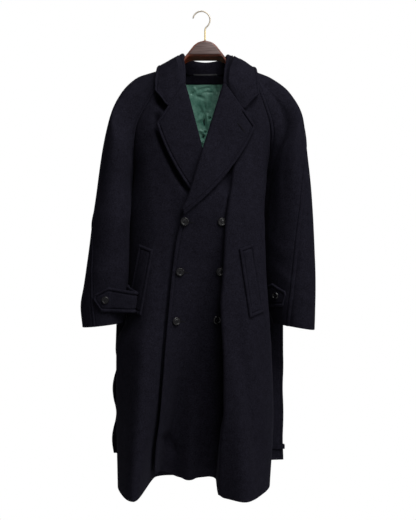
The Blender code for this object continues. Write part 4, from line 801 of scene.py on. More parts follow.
# Sleeves
# Raglan sleeves cut in a front and a back piece, which meet in a seam along the top of the arm and one under
# it. The raglan and top seams are felled: a lap 10 mm wide is stitched down beside them. The cuffs are open.
Reach = namedtuple("Reach", "height right left")
OUTER_LINE = [
    Reach(-0.1395, -0.062, 0.082), Reach(-0.1625, -0.119, 0.1400), Reach(-0.1820, -0.175, 0.1880),
    Reach(-0.2230, -0.216, 0.2395), Reach(-0.3000, -0.251, 0.2787), Reach(-0.3800, -0.270, 0.2870),
    Reach(-0.4600, -0.2813, 0.2975), Reach(-0.6270, -0.299, 0.3090), Reach(-0.7550, -0.3165, 0.3135),
    Reach(-0.8175, -0.326, 0.3125), Reach(-0.8730, -0.321, 0.3107),
]
INNER_LINE = [
    Reach(-0.457, -0.1850, 0.177), Reach(-0.520, -0.1925, 0.1718), Reach(-0.600, -0.1960, 0.1688),
    Reach(-0.700, -0.1970, 0.1710), Reach(-0.780, -0.2010, 0.1790), Reach(-0.858, -0.2090, 0.2020),
]
SLEEVE_BULGE = (0.094, 0.062)
SLEEVE_TWIST = {"right": math.radians(16), "left": math.radians(-20)}
ARMPIT_TWIST = {"right": math.radians(-4), "left": math.radians(-16)}
SLEEVE_SWING = {"right": -0.034, "left": 0.004}
SLEEVE_SWING_SPEED = {"right": 3.0, "left": 1.2}
SLEEVE_RISE = {"right": 0.010, "left": 0.000}
SEAM_LINE = {
    "right": [
        Edge(-0.520, -0.300), Edge(-0.600, -0.2885), Edge(-0.660, -0.2845), Edge(-0.750, -0.2858),
        Edge(-0.873, -0.2770),
    ],
    "left": [
        Edge(-0.330, 0.290), Edge(-0.352, 0.278), Edge(-0.426, 0.272), Edge(-0.514, 0.2635),
        Edge(-0.627, 0.2496), Edge(-0.767, 0.2368), Edge(-0.873, 0.2270),
    ],
}
SHOULDER_PULL = 0.36
SEAM_SMOOTHING = 11
ARMPIT_SMOOTHING = 40
ARMPIT_ROWS = 14.0
FELLED = np.array([0, 7, 16, 30, 55, 78, 89, 100, 111, 125, 150]) * 1e-4
HALF_COLUMNS = 34
downs = spaced(1.0, np.zeros(1), TURNED / 0.41, 78)


def along(points, shares):
    """Points at shares of the way along a line."""
    run = run_of(points)
    return points_at(points, run, np.asarray(shares) * run[-1])


def bezier(p0, p1, p2, p3):
    t = np.linspace(0, 1, 90)[:, None]
    return (1 - t) ** 3 * p0 + 3 * t * (1 - t) ** 2 * p1 + 3 * t * t * (1 - t) * p2 + t ** 3 * p3


def sleeve_rings(name, front):
    """Rings of a sleeve from the neck to the cuff: its front piece up to the top seam, then its back piece.

    The top seam comes forward from the edge of the arm as it goes down. A fourth number beside each point is
    the share of the way round, from 0 at the inner seam to 1 at the outer edge and 2 at the inner seam again.
    """
    side = REVERS[name].side
    outer_x = curve_through([(r.height, getattr(r, name)) for r in OUTER_LINE])
    heights = np.linspace(OUTER_LINE[0].height, OUTER_LINE[-1].height, 400)
    rise = SLEEVE_RISE[name] * step((ARMPIT - heights) / (ARMPIT - heights[-1]))
    line = np.column_stack([outer_x(heights), heights + rise])
    split = int(np.argmin(np.abs(line[:, 1] - (ARMPIT - 0.004))))
    upper = along(line[: split + 1], np.linspace(0, 1, ROWS_ABOVE + 1))
    lower = along(line[split:], downs)
    inner_x = curve_through([(r.height, getattr(r, name)) for r in INNER_LINE])
    inner_z = mix((INNER_LINE[0].height, INNER_LINE[-1].height), downs)
    back_column, next_column = (0, 5) if side < 0 else (-1, -6)
    over = np.array([0.0, 1.0, 0.0])
    twist = ARMPIT_TWIST[name]
    seam_x = curve_through(SEAM_LINE[name])
    loops = []
    splits = []
    for k in range(ROWS_ABOVE + len(downs)):
        if k <= ROWS_ABOVE:
            f = front[-1 - k, -1]
            b = plain_back[-1 - k, back_column]
            share = step(k / ROWS_ABOVE)
            outward = np.array([-side * math.sin(twist), -math.cos(twist), 0.0])
            f_way = unit(mix((unit(f - front[-1 - k, -6]), outward), share))
            b_start = unit(plain_back[-1 - k, next_column] - b)
            b_way = unit(mix((b_start, outward * np.array([-1, 1, 1])), share))
            top = np.array([upper[k, 0], 0.0, upper[k, 1]])
            down = 0.0
        else:
            down = downs[k - ROWS_ABOVE]
            z = inner_z[k - ROWS_ABOVE] + SLEEVE_RISE[name] * step(down)
            swing = SLEEVE_SWING[name] * step(down * SLEEVE_SWING_SPEED[name])
            f = b = np.array([float(inner_x(inner_z[k - ROWS_ABOVE])), swing, z])
            turns = [mix((s * twist, SLEEVE_TWIST[name]), step(down / 0.2)) for s in (1, -1)]
            f_way, b_way = (np.array([-side * math.sin(t), -math.cos(t), 0.0]) for t in turns)
            share = 1.0
            top = np.array([lower[k - ROWS_ABOVE, 0], swing, lower[k - ROWS_ABOVE, 1]])
        bulge = mix(SLEEVE_BULGE, down) / 0.75
        pulls = [mix((SHOULDER_PULL * np.linalg.norm(top - end), bulge), share) for end in (f, b)]
        first = bezier(f, f + f_way * pulls[0], top - over * pulls[0], top)
        second = bezier(top, top + over * pulls[1], b - b_way * pulls[1], b)
        shares = [run_of(half) / run_of(half)[-1] for half in (first, second)]
        way_round = np.concatenate([shares[0], 1 + shares[1][1:]])
        loops.append(np.column_stack([np.vstack([first, second[1:]]), way_round]))
        reach = side * first[:, 0]
        wanted = side * float(seam_x(top[2]))
        crossed = int(np.argmax(reach > wanted)) or len(first) - 1
        splits.append(np.interp(wanted, reach[: crossed + 1], shares[0][: crossed + 1]))
    padded = np.pad(splits, SEAM_SMOOTHING // 2, mode="edge")
    splits = np.convolve(padded, np.ones(SEAM_SMOOTHING) / SEAM_SMOOTHING, mode="valid")
    loops = np.array(loops)
    far = step(np.minimum(loops[..., 3], 2 - loops[..., 3]) / 0.4)
    near = np.exp(-(((np.arange(len(loops)) - ROWS_ABOVE) / ARMPIT_ROWS) ** 2))
    for _ in range(ARMPIT_SMOOTHING):
        even = (loops[:-2] + 2 * loops[1:-1] + loops[2:]) / 4
        loops[1:-1] += (even - loops[1:-1]) * (far[1:-1] * near[1:-1, None])[..., None]
    rings = []
    for loop, split in zip(loops, splits):
        at = np.array([[np.interp(split, loop[:, 3], loop[:, k]) for k in range(4)]])
        halves = np.vstack([loop[loop[:, 3] < split], at]), np.vstack([at, loop[loop[:, 3] > split]])
        front_half, back_half = (laid_out(half, FELLED, FELLED, HALF_COLUMNS) for half in halves)
        rings.append(np.vstack([front_half, back_half[1:]]))
    return np.array(rings)


# Creases of the sleeves, by the share of the way round and by height.
SLEEVE_CREASES = {
    "right": [
        Crease([(0.10, -0.40), (0.40, -0.47), (0.62, -0.52)], 0.030, 0.050, 0.0030),
        Crease([(0.06, -0.55), (0.34, -0.58), (0.58, -0.57)], 0.022, 0.030, 0.0022),
        Crease([(0.12, -0.64), (0.40, -0.67), (0.74, -0.64)], 0.016, 0.024, -0.0020),
        Crease([(0.30, -0.70), (0.56, -0.72), (0.86, -0.70)], 0.014, 0.020, 0.0018),
        Crease([(1.30, -0.48), (1.60, -0.53), (1.90, -0.50)], 0.020, 0.030, 0.0030),
        Crease([(1.20, -0.60), (1.50, -0.64), (1.85, -0.61)], 0.016, 0.026, -0.0026),
        Crease([(1.25, -0.69), (1.55, -0.71), (1.80, -0.68)], 0.014, 0.022, 0.0024),
    ],
    "left": [
        Crease([(0.36, -0.24), (0.26, -0.31), (0.14, -0.40), (0.07, -0.50), (0.03, -0.59)],
               0.050, 0.040, -0.0070),
        Crease([(0.24, -0.37), (0.30, -0.46), (0.36, -0.58)], 0.050, 0.080, 0.0040),
        Crease([(0.50, -0.40), (0.62, -0.50), (0.66, -0.62)], 0.050, 0.070, -0.0028),
        Crease([(0.10, -0.62), (0.36, -0.66), (0.62, -0.64)], 0.016, 0.026, 0.0022),
        Crease([(0.20, -0.70), (0.46, -0.74), (0.70, -0.73)], 0.014, 0.022, 0.0026),
        Crease([(0.34, -0.80), (0.58, -0.78), (0.84, -0.81)], 0.012, 0.020, 0.0022),
        Crease([(1.25, -0.47), (1.55, -0.52), (1.90, -0.50)], 0.022, 0.030, 0.0030),
        Crease([(1.20, -0.59), (1.52, -0.63), (1.86, -0.60)], 0.018, 0.026, -0.0026),
        Crease([(1.30, -0.70), (1.58, -0.73), (1.84, -0.70)], 0.014, 0.022, 0.0024),
    ],
}
SLEEVE_CUTS = {
    "front_right": {"flat": (0.28, 0.75), "area": 0.120}, "back_right": {"flat": (0.36, 0.76), "area": 0.160},
    "front_left": {"flat": (0.24, 0.75), "area": 0.093}, "back_left": {"flat": (0.42, 0.76), "area": 0.209},
}
sleeves = {}
sleeve_out = {}
sleeve_around = {}
last_front = len(FELLED) * 2 + HALF_COLUMNS - 2
TOP_LAP = {"right": 1.0, "left": 0.75}
for name in ("right", "left"):
    rings = sleeve_rings(name, plain_fronts[name])
    around = rings[..., 3]
    rings = rings[..., :3]
    out = grid_normals(rings, rings - rings.mean(axis=1, keepdims=True))
    for k in range(ROWS_ABOVE, len(rings)):
        out[k, 0] = out[k, -1] = unit(out[k, 0] + out[k, -1])
    sleeves[name] = rings
    sleeve_out[name] = out
    sleeve_around[name] = around
    shaped = rings + out * creases(SLEEVE_CREASES[name], around, rings[..., 2])[..., None]
    for piece, part in (("front", slice(0, last_front + 1)), ("back", slice(last_front, None))):
        grid = shaped[:, part]
        columns = ("first column", "last column")
        raglan, top_seam = columns if piece == "front" else columns[::-1]
        under_arm = step((ARMPIT + 0.01 - grid[..., 2]) / 0.02)
        from_raglan = from_border(grid, raglan)
        from_top = from_border(grid, top_seam)
        lap = swelled(from_raglan + 0.001) * (1 - under_arm)
        if piece == "back":
            lap = lap + swelled((from_top + 0.001) * TOP_LAP[name], 0.0021)
        pressed = lap + sewn(from_raglan) + sewn(from_top)
        inside = grid - out[:, part] * CLOTH
        melton_piece(f"sleeve_{piece}_{name}", grid, inside, from_border(grid, "last row"), pressed,
                     **SLEEVE_CUTS[f"{piece}_{name}"], held="hung", rests_on=["hanger_wood"])

# Back lining
# Sea-green satin, 1 mm thick with its interlining, sewn under the neck facing and hanging inside the back.
# A pleat at the centre gives ease, and the cloth is creased from wear.
FACING_DROP = 0.023
LINING_HEM = -1.24
SEEN_LINING = -0.375
SEEN_ACROSS = (-0.045, 0.070)
CENTRE_COLUMNS = 66
LINING_CREASES = [
    Crease([(0.0150, -0.1820), (0.0150, -0.2135), (0.0135, -0.2390), (0.0115, -0.2615)],
           0.0120, 0.0220, 0.0060),
    Crease([(-0.0150, -0.2005), (0.0030, -0.1965), (0.0150, -0.1935), (0.0295, -0.1950)],
           0.0036, 0.0050, -0.0030),
    Crease([(0.0010, -0.2075), (0.0150, -0.2045), (0.0350, -0.2070)], 0.0034, 0.0046, -0.0028),
    Crease([(-0.0180, -0.2150), (-0.0040, -0.2185), (0.0100, -0.2235)], 0.0036, 0.0052, -0.0030),
    Crease([(-0.0325, -0.2130), (-0.0235, -0.2060)], 0.0034, 0.0040, -0.0026),
    Crease([(0.0075, -0.2325), (0.0080, -0.2470), (0.0120, -0.2575)], 0.0036, 0.0036, -0.0028),
    Crease([(-0.0150, -0.2870), (-0.0005, -0.2785), (0.0065, -0.2645)], 0.0040, 0.0050, 0.0030),
    Crease([(0.0095, -0.2635), (0.0065, -0.2860), (0.0080, -0.3100)], 0.0042, 0.0044, -0.0058),
    Crease([(0.0150, -0.2635), (0.0175, -0.2895), (0.0155, -0.3100)], 0.0036, 0.0040, 0.0050),
    Crease([(0.0195, -0.2815), (0.0280, -0.2765)], 0.0044, 0.0040, -0.0055),
    Crease([(0.0205, -0.2870), (0.0330, -0.2775)], 0.0034, 0.0034, 0.0036),
    Crease([(-0.0090, -0.3115), (0.0010, -0.3155), (0.0065, -0.3230)], 0.0036, 0.0042, 0.0040),
    Crease([(0.0105, -0.3140), (0.0115, -0.3200)], 0.0040, 0.0040, -0.0050),
    Crease([(0.0070, -0.3240), (0.0025, -0.3370)], 0.0038, 0.0036, -0.0060),
    Crease([(-0.0040, -0.3370), (0.0030, -0.3510)], 0.0036, 0.0036, 0.0040),
    Crease([(0.0405, -0.1880), (0.0435, -0.2095)], 0.0034, 0.0038, -0.0026),
    Crease([(-0.0245, -0.1905), (-0.0145, -0.2035)], 0.0034, 0.0036, 0.0020),
    Crease([(-0.0075, -0.2405), (-0.0005, -0.2575), (-0.0020, -0.2760)], 0.0044, 0.0060, -0.0022),
    Crease([(0.0220, -0.2190), (0.0265, -0.2390), (0.0225, -0.2590)], 0.0044, 0.0060, -0.0024),
    Crease([(-0.1000, -0.4000), (-0.1100, -0.6000), (-0.1000, -0.8000)], 0.014, 0.020, 0.0040),
    Crease([(0.0800, -0.4500), (0.0900, -0.6500), (0.0840, -0.9000)], 0.014, 0.020, 0.0040),
    Crease([(-0.0400, -0.6000), (-0.0460, -0.8000), (-0.0400, -1.0000)], 0.012, 0.018, 0.0036),
]
# Acetate satin: floats of 0.2 mm are drawn at 0.8 mm as bars across, and the colour is blotched lighter and
# darker at random.
sea_satin, where = new_material("sea-green acetate satin", {
    "Roughness": 0.42, "IOR": 1.47, "Specular IOR Level": 0.45, "Anisotropic": 0.4, "Sheen Weight": 0.15,
    "Sheen Roughness": 0.3, "Sheen Tint": "#cfe8dd",
})
blotch = add_node(sea_satin, "TexNoise", {"Vector": where, "Scale": 60.0, "Detail": 4.0, "Roughness": 0.65})
add_node(sea_satin, "ValToRGB", {"Fac": blotch}, to="Base Color",
         stops=((0.30, "#4c8876"), (0.72, "#82b9a5")))
floats = add_node(sea_satin, "TexWave", {
    "Vector": where, "Scale": 390.0, "Distortion": 1.2, "Detail": 1.0,
}, "Fac", bands_direction="Z")
crumple = add_node(sea_satin, "TexNoise", {"Vector": where, "Scale": 130.0, "Detail": 4.0, "Roughness": 0.6})
ridged = add_node(sea_satin, "Math", {0: floats, 1: 0.05}, operation="MULTIPLY")
uneven = add_node(sea_satin, "Math", {0: ridged, 1: crumple}, operation="ADD")
add_node(sea_satin, "Bump", {"Height": uneven, "Strength": 0.5, "Distance": 0.0022}, to="Normal")


def back_row(grid, z):
    """The points at a height of a grid that runs beside the back."""
    columns = grid.transpose(1, 0, 2)
    return np.array([[np.interp(z, back_heights, column[:, k]) for k in range(3)] for column in columns])


def inside_back(depth, rows, centre_columns=0):
    """A grid of points inside the back, a depth in from its inner face, with more columns near the centre."""
    sunk = (plain_back - back_out * (CLOTH + depth))[:, 5:-5]
    grid = np.array([back_row(sunk, z) for z in rows])
    if not centre_columns:
        return grid
    x = sunk[len(sunk) // 2, :, 0]
    near = np.interp(SEEN_ACROSS, x, np.arange(len(x)))
    after = np.arange(len(x) - 1, near[1], -1)[::-1]
    spots = np.concatenate([np.arange(0, near[0]), np.linspace(*near, centre_columns), after])
    low = np.minimum(spots.astype(int), len(x) - 2)
    share = (spots - low)[:, None]
    return grid[:, low] * (1 - share) + grid[:, low + 1] * share


top = BACK_NECK - FACING_DROP - 0.0004
lining_heights = np.concatenate([spaced(SEEN_LINING - LINING_HEM, TURNED, np.zeros(1), 70)[:-1] + LINING_HEM,
                                 spaced(top - SEEN_LINING, np.zeros(1), TURNED, 105) + SEEN_LINING])
behind = inside_back(0.0032, lining_heights, CENTRE_COLUMNS)
shown = inside_back(0.0044, lining_heights, CENTRE_COLUMNS)
heave = unit(shown - behind) * creases(LINING_CREASES, shown[..., 0], shown[..., 2])[..., None]
cloth_piece("lining_satin", shown + heave, behind + heave, from_border(shown, "first row", "last row"), 0.0,
            sea_satin, "satin_lining", "lining_back",
            flat=(0.60, 1.06), area=0.455, held="hung", rests_on=["neck_facing_cloth"])

# Neck facing
# A band of the coat's own wool, cut along the neck, faces the back above the lining. It is sewn to the back
# at the collar's seam, and the lining is sewn under its lower edge.
facing_heights = spaced(FACING_DROP - 0.0005, TURNED, TURNED, 6) + BACK_NECK - FACING_DROP
behind = inside_back(0.0046, facing_heights)
shown = inside_back(0.0070, facing_heights)
pressed = sewn(from_border(shown, "first row"), 0.0005)
melton_piece("neck_facing", shown, behind, from_border(shown, "first row", "last row"), pressed,
             flat=(0.15, 0.024), held="stretched", rests_on=["back_cloth"])

# Lapels
# Each lapel is its front's facing, turned back round a soft roll and pressed flat below. The edges are
# swelled: stitched 9 mm in. The overlapping front's lapel has a worked buttonhole near its corner.
LAPEL = 0.0045
LAPEL_STAND = (0.0060, 0.0080, 0.0095)
LAPEL_GROWTH = 0.28
LAPEL_TURN = 0.95
PRESSED_TURN = 0.42
DOUBLED_SWELL = 0.0022
DOUBLED_SEAM = 0.0012


def lapel_stand(revers, across, up):
    """How far the lapel's face stands above its front."""
    free = np.interp(across, (0.0, 0.5, 1.0), LAPEL_STAND)
    start = 0.10 if revers.side < 0 else 0.0
    return mix((LAPEL + 0.0008, free), step((up - start) / LAPEL_GROWTH))


def lapel_lines(revers, shares):
    """Roll line and outer edge as places across and heights, from the foot of the lapel to the gorge."""
    heights = mix((revers.roll_foot[1], revers.roll_top[1]), shares)
    roll = np.array([(front_edge(revers.side, z), z) for z in heights])
    foot = np.array(revers.foot)
    tip = np.array(revers.tip)
    bow = np.array([tip[1] - foot[1], foot[0] - tip[0]])
    bow = unit(bow if bow[0] * revers.side > 0 else -bow)
    edge = foot + (tip - foot) * shares[:, None] + bow * (revers.belly * 4 * shares * (1 - shares))[:, None]
    return roll, edge


def lapel_grid(revers, shares, across, turns):
    """The lapel's showing and hidden sides, from foot to gorge and from the turn to the outer edge."""
    roll, edge = lapel_lines(revers, shares)
    face = []
    hidden = []
    for i, up in enumerate(shares):
        at, normal = on_front(revers.side, *roll[i])
        after = on_front(revers.side, *roll[min(i + 1, len(roll) - 1)])[0]
        before = on_front(revers.side, *roll[max(i - 1, 0)])[0]
        out = unit(np.cross(normal, after - before))
        out = out if out[0] * revers.side < 0 else -out
        middle = at - normal * CLOTH / 2
        radius = float(lapel_stand(revers, 0.0, up)) + CLOTH / 2
        open_v = step((roll[i, 1] + 0.40) / 0.05)
        full = math.pi * (mix((PRESSED_TURN, LAPEL_TURN), open_v) if revers.side > 0 else LAPEL_TURN)
        outer_row = []
        inner_row = []
        for turn in turns:
            way = normal * math.cos(full * turn) + out * math.sin(full * turn)
            outer_row.append(middle + way * radius)
            inner_row.append(middle + way * (radius - LAPEL))
        for share in across(np.linalg.norm(edge[i] - roll[i])):
            point, normal = on_front(revers.side, *(roll[i] + (edge[i] - roll[i]) * share), cloth=False)
            stand = float(lapel_stand(revers, share, up))
            outer_row.append(point + normal * stand)
            inner_row.append(point + normal * (stand - LAPEL))
        face.append(outer_row)
        hidden.append(inner_row)
    return np.array(face), np.array(hidden)


def gorge_share(revers):
    """Share of the way along a lapel's upper edge at which the notch begins."""
    roll, edge = lapel_lines(revers, np.array([0.0, 1.0]))
    return np.linalg.norm(np.subtract(revers.notch, roll[-1])) / np.linalg.norm(edge[-1] - roll[-1])


def lapel_columns(width):
    """Shares across a lapel of a width, close together at its stitched edge."""
    return spaced(1.0, np.zeros(1), STITCHED / max(width, 0.045), 26)


LAPEL_CUTS = {"right": {"flat": (0.14, 0.30), "area": 0.0222}, "left": {"flat": (0.19, 0.37), "area": 0.0312}}
turns = np.linspace(1, 0, 13)[:-1]
for name, revers in REVERS.items():
    gorge = gorge_share(revers)
    line_length = abs(revers.roll_top[1] - revers.roll_foot[1])
    shares = spaced(1.0, np.zeros(1), STITCHED / line_length, 64)
    face, hidden = lapel_grid(revers, shares, lapel_columns, turns)
    upper = lengths(face, 1)[-1:]
    rolled = upper[0, len(turns) - 1]
    beyond = step((upper - rolled - gorge * (upper[0, -1] - rolled)) / 0.004 + 0.5)
    upper_edge = from_border(face, "last row")
    edge = np.minimum(from_border(face, "last column"), upper_edge + (1 - beyond))
    pressed = swelled(edge, DOUBLED_SWELL) + sewn(upper_edge, DOUBLED_SEAM) * (1 - beyond)
    melton_piece(f"lapel_{name}", face, hidden, edge, pressed,
                 **LAPEL_CUTS[name], held="folded", rests_on=[f"front_{name}_cloth"])

# Collar
# One doubled strip of melton 5 mm thick: a stand sewn round the neck, rolled over and falling to the
# shoulders, with notched ends that meet the lapels at the gorge. Its edge is swelled like theirs.
COLLAR = 0.005
Collar = namedtuple("Collar", "fold edge seam")
COLLAR_SIDE = {
    -1: [
        Collar((-0.0490, -0.052, -0.168), (-0.1215, -0.052, -0.196), (-0.0490, -0.038, -0.180)),
        Collar((-0.0583, -0.004, -0.1175), (-0.1165, -0.002, -0.1530), (-0.0545, 0.002, -0.140)),
        Collar((-0.0420, 0.054, -0.1215), (-0.0880, 0.078, -0.1720), (-0.0400, 0.052, -0.160)),
    ],
    1: [
        Collar((0.0680, -0.052, -0.168), (0.1500, -0.052, -0.203), (0.0680, -0.038, -0.180)),
        Collar((0.0787, -0.004, -0.1200), (0.1440, -0.002, -0.1600), (0.0745, 0.002, -0.140)),
        Collar((0.0620, 0.054, -0.1220), (0.1120, 0.078, -0.1750), (0.0600, 0.052, -0.160)),
    ],
}
COLLAR_BACK = Collar((0.010, 0.080, -0.1252), (0.010, 0.106, -0.1890), (0.010, 0.0632, -0.1635))
COLLAR_FOLD_RADIUS = 0.0065
COLLAR_STATIONS = 33
COLLAR_BLEND = 6
COLLAR_CLEAR = 0.0027
COLLAR_TIP_STAND = 0.0125
NOTCH = 7
STATION_LENGTH = 0.0145
LAST_COLUMN_WIDTH = 0.0175


def collar_end(revers):
    point, normal = on_front(revers.side, *revers.roll_top)
    gorge = point + normal * LAPEL_STAND[0]
    point, normal = on_front(revers.side, *revers.collar_tip, cloth=False)
    seam = gorge + np.array([-revers.side * 0.001, 0.012, -0.004])
    return Collar(gorge, point + normal * COLLAR_TIP_STAND, seam)


def gorge_row(lapel, last):
    """The lapel's upper row to the notch, spread over the collar's columns, and on to the collar's tip."""
    notch = lapel[NOTCH]
    return np.array([
        lapel[0], lapel[1], (lapel[1] + lapel[2]) / 2, lapel[2], lapel[3], (lapel[3] + lapel[4]) / 2,
        lapel[4], lapel[5], notch, (notch + last) / 2, last,
    ])


def skin_tree(grids):
    """The outer faces of the body and the sleeves, turned outwards, with a little more beyond the neck."""
    points = []
    faces = []
    for grid, normals, neck in grids:
        beyond = grid[neck] + unit(grid[neck] - grid[1 if neck == 0 else -2]) * 0.02
        grid = np.concatenate([beyond[None], grid] if neck == 0 else [grid, beyond[None]])
        rows, columns = grid.shape[:2]
        first = len(points)
        points += [Vector(p) for p in grid.reshape(-1, 3)]
        turn = np.cross(grid[2, 8] - grid[2, 7], grid[2, 8] - grid[1, 8])
        flip = np.dot(turn, normals[1, 8]) < 0
        for i in range(rows - 1):
            for j in range(columns - 1):
                a = first + i * columns + j
                quad = (a, a + 1, a + columns + 1, a + columns)
                faces.append(quad[::-1] if flip else quad)
    return BVHTree.FromPolygons(points, faces)


def lift_off(skin, points, clearance):
    """Moves points that lie too near the cloth out from it."""
    moved = points.reshape(-1, 3).copy()
    for i, point in enumerate(moved):
        place, normal, _, _ = skin.find_nearest(Vector(point))
        height = float(np.dot(point - np.array(place), np.array(normal)))
        if height < clearance:
            moved[i] = point + np.array(normal) * (clearance - height)
    return moved.reshape(points.shape)


def spread(lift):
    """A lift shared with the stations to both sides, so that an edge stays even."""
    padded = np.concatenate([lift[:1]] * 3 + [lift] + [lift[-1:]] * 3)
    around = np.stack([padded[k : k + len(lift)] for k in range(7)])
    heights = np.linalg.norm(around, axis=3)
    shared = (around * np.array([1, 2, 3, 4, 3, 2, 1])[:, None, None, None]).sum(axis=0) / 10
    return np.where((heights.max(axis=0) > 0)[..., None], shared, 0.0)


def collar_grid(skin):
    """The collar's showing and hidden sides, from the wearer's right gorge round the neck to the left one."""
    right, left = REVERS["right"], REVERS["left"]
    stations = [collar_end(right), *COLLAR_SIDE[-1], COLLAR_BACK, *COLLAR_SIDE[1][::-1], collar_end(left)]
    even = np.linspace(0, 1, COLLAR_STATIONS)
    fold, edge, seam = (along(smooth_path([s[k] for s in stations], 12), even) for k in range(3))
    tangent = unit(np.gradient(fold, axis=0))
    away = edge - fold
    away = unit(away - tangent * (away * tangent).sum(axis=1, keepdims=True))
    up = unit(np.cross(tangent, away))
    up = np.where((up * np.array([0, -0.15, 1.0])).sum(axis=1, keepdims=True) > 0, up, -up)
    away = unit(np.cross(up, tangent))
    away = np.where(((edge - fold) * away).sum(axis=1, keepdims=True) > 0, away, -away)
    radius = COLLAR_FOLD_RADIUS
    centre = fold - up * radius
    columns = [seam, (seam + centre - away * radius) / 2]
    for a in np.radians([0, 45, 90, 135, 180]):
        columns.append(centre - away * radius * math.cos(a) + up * radius * math.sin(a))
    start = columns[-1]
    columns += [start + (edge - start) * share for share in (0.26, 0.52, 0.77, 1.0)]
    grid = np.stack(columns, axis=1)
    hints = np.stack([-away] * 2 + [up] * 5 + [away] * 4, axis=1)
    uppers = {}
    for place, revers in ((0, right), (-1, left)):
        gorge = gorge_share(revers)
        shares = np.array([0.0, 0.20 * gorge, 0.55 * gorge, 0.78 * gorge, gorge, (1 + gorge) / 2, 1.0])
        sides = lapel_grid(revers, np.linspace(0, 1, 13), lambda width: shares, (1.0, 0.72, 0.38))
        uppers[place] = [s[-1] for s in sides]
        shift = gorge_row(uppers[place][0], grid[place, -1]) - grid[place]
        for distance in range(COLLAR_BLEND):
            row = distance if place == 0 else -1 - distance
            grid[row] += shift * (1 - distance / COLLAR_BLEND) ** 2
    normals = grid_normals(grid, hints)
    for shared in (True, True, True, False, False):
        hidden = grid - normals * COLLAR
        lift = lift_off(skin, hidden[:, 5:], COLLAR_CLEAR) - hidden[:, 5:]
        grid[:, 5:] += spread(lift) if shared else lift
        normals = grid_normals(grid, hints)
    hidden = grid - normals * COLLAR
    for place in (0, -1):
        face, under = uppers[place]
        grid[place, :9] = gorge_row(face, grid[place, -1])[:9]
        hidden[place, :9] = gorge_row(under, hidden[place, -1])[:9]
    return grid, hidden


def resampled(grid, places, axis):
    """A smooth surface through a grid's points, at fractional places along one of its axes."""
    grid = np.moveaxis(grid, axis, 0)
    ends = np.concatenate([2 * grid[:1] - grid[1:2], grid, 2 * grid[-1:] - grid[-2:-1]])
    i = np.clip(np.floor(places).astype(int), 0, len(grid) - 2)
    t = (places - i).reshape(-1, 1, 1)
    return np.moveaxis(through_four(*(ends[i + k] for k in range(4)), t), 0, axis)


skin = skin_tree([(plain_fronts[n], front_out[n], -1) for n in plain_fronts]
                 + [(sleeves[n], sleeve_out[n], 0) for n in sleeves] + [(plain_back, back_out, -1)])
collar_face, collar_hidden = collar_grid(skin)
worked_ends = STITCHED / STATION_LENGTH
collar_rows = spaced(COLLAR_STATIONS - 1.0, worked_ends, worked_ends, 190)
collar_columns = np.concatenate([np.linspace(0, 9, 46)[:-1], (10 - STITCHED / LAST_COLUMN_WIDTH)[::-1]])
face, hidden = (
    resampled(resampled(grid, collar_rows, 0), collar_columns, 1) for grid in (collar_face, collar_hidden)
)
past_notch = step((collar_columns - 7.85) / 0.3)[None]
ends = from_border(face, "first row", "last row")
edge = np.minimum(from_border(face, "last column"), ends + (1 - past_notch))
pressed = swelled(edge, DOUBLED_SWELL) + sewn(ends, DOUBLED_SEAM) * (1 - past_notch)
melton_piece("collar", face, hidden, edge, pressed,
             flat=(0.62, 0.145), area=0.0675, held="folded", rests_on=["back_cloth"])

# Hanging loop
# A grey-blue woven tape 4 mm wide, for hanging the coat on a peg. It is sewn down at both ends on the inside
# of the collar's stand and is slack between them.
LOOP_WIDTH = 0.0040
LOOP_THICKNESS = 0.0012
LOOP_FOOT = 0.12
STAND_HALF = 0.018
# Woven tape: ribs 1.2 mm apart across it.
loop_tape, where = new_material("grey-blue woven tape", {"Roughness": 0.6, "Sheen Weight": 0.2})
ribs = add_node(loop_tape, "TexWave", {"Vector": where, "Scale": 260.0, "Distortion": 0.5}, "Fac",
                bands_direction="X")
add_node(loop_tape, "Mix", {0: ribs, 6: "#16181e", 7: "#23262e"}, 2, "Base Color", data_type="RGBA")
add_node(loop_tape, "Bump", {"Height": ribs, "Strength": 0.4, "Distance": 0.0005}, to="Normal")
middle = COLLAR_STATIONS // 2
places = np.linspace(middle - 2.5, middle + 2.5, 61)
stand = resampled(collar_face, places, 0)
out = unit(stand - resampled(collar_hidden, places, 0))[:, :1]
foot = mix((stand[:, 0], stand[:, 1]), LOOP_FOOT)
head = mix((stand[:, 0], stand[:, 1]), LOOP_FOOT + LOOP_WIDTH / STAND_HALF)
turned = TURNED[:5] / 0.008
strip = np.stack([mix((foot, head), share) for share in spaced(1.0, turned, turned, 3)], axis=1)
bow = 0.0004 + 0.0010 * np.sin(np.linspace(0, math.pi, 61)) ** 0.5
behind = strip + out * bow[:, None, None]
edge = from_border(behind, "first column", "last column")
cloth_piece("hanging_loop_tape", behind + out * LOOP_THICKNESS, behind, edge, 0.0,
            loop_tape, "loop_tape", "hanging_loop",
            flat=(0.010, 0.062), area=0.00034, held="stretched", rests_on=["collar_cloth"])

# Pocket welts
# Slanted welts of doubled melton, 40 mm wide, laid on over the mouths of the hand pockets and stitched round.
WELT = 0.004
WELT_GAP = 0.0006
Pocket = namedtuple("Pocket", "side top foot width")
POCKETS = {
    "right": Pocket(-1, (-0.1435, -0.648), (-0.1740, -0.820), 0.040),
    "left": Pocket(1, (0.1180, -0.646), (0.1440, -0.826), 0.040),
}
POCKET_SLANT = 0.21


def walls(rows, outer, inner):
    """Both sides of a strip, at two distances from rows of points with their normals."""
    points, normals = np.moveaxis(np.array(rows), 2, 0)
    return points + normals * outer, points + normals * inner


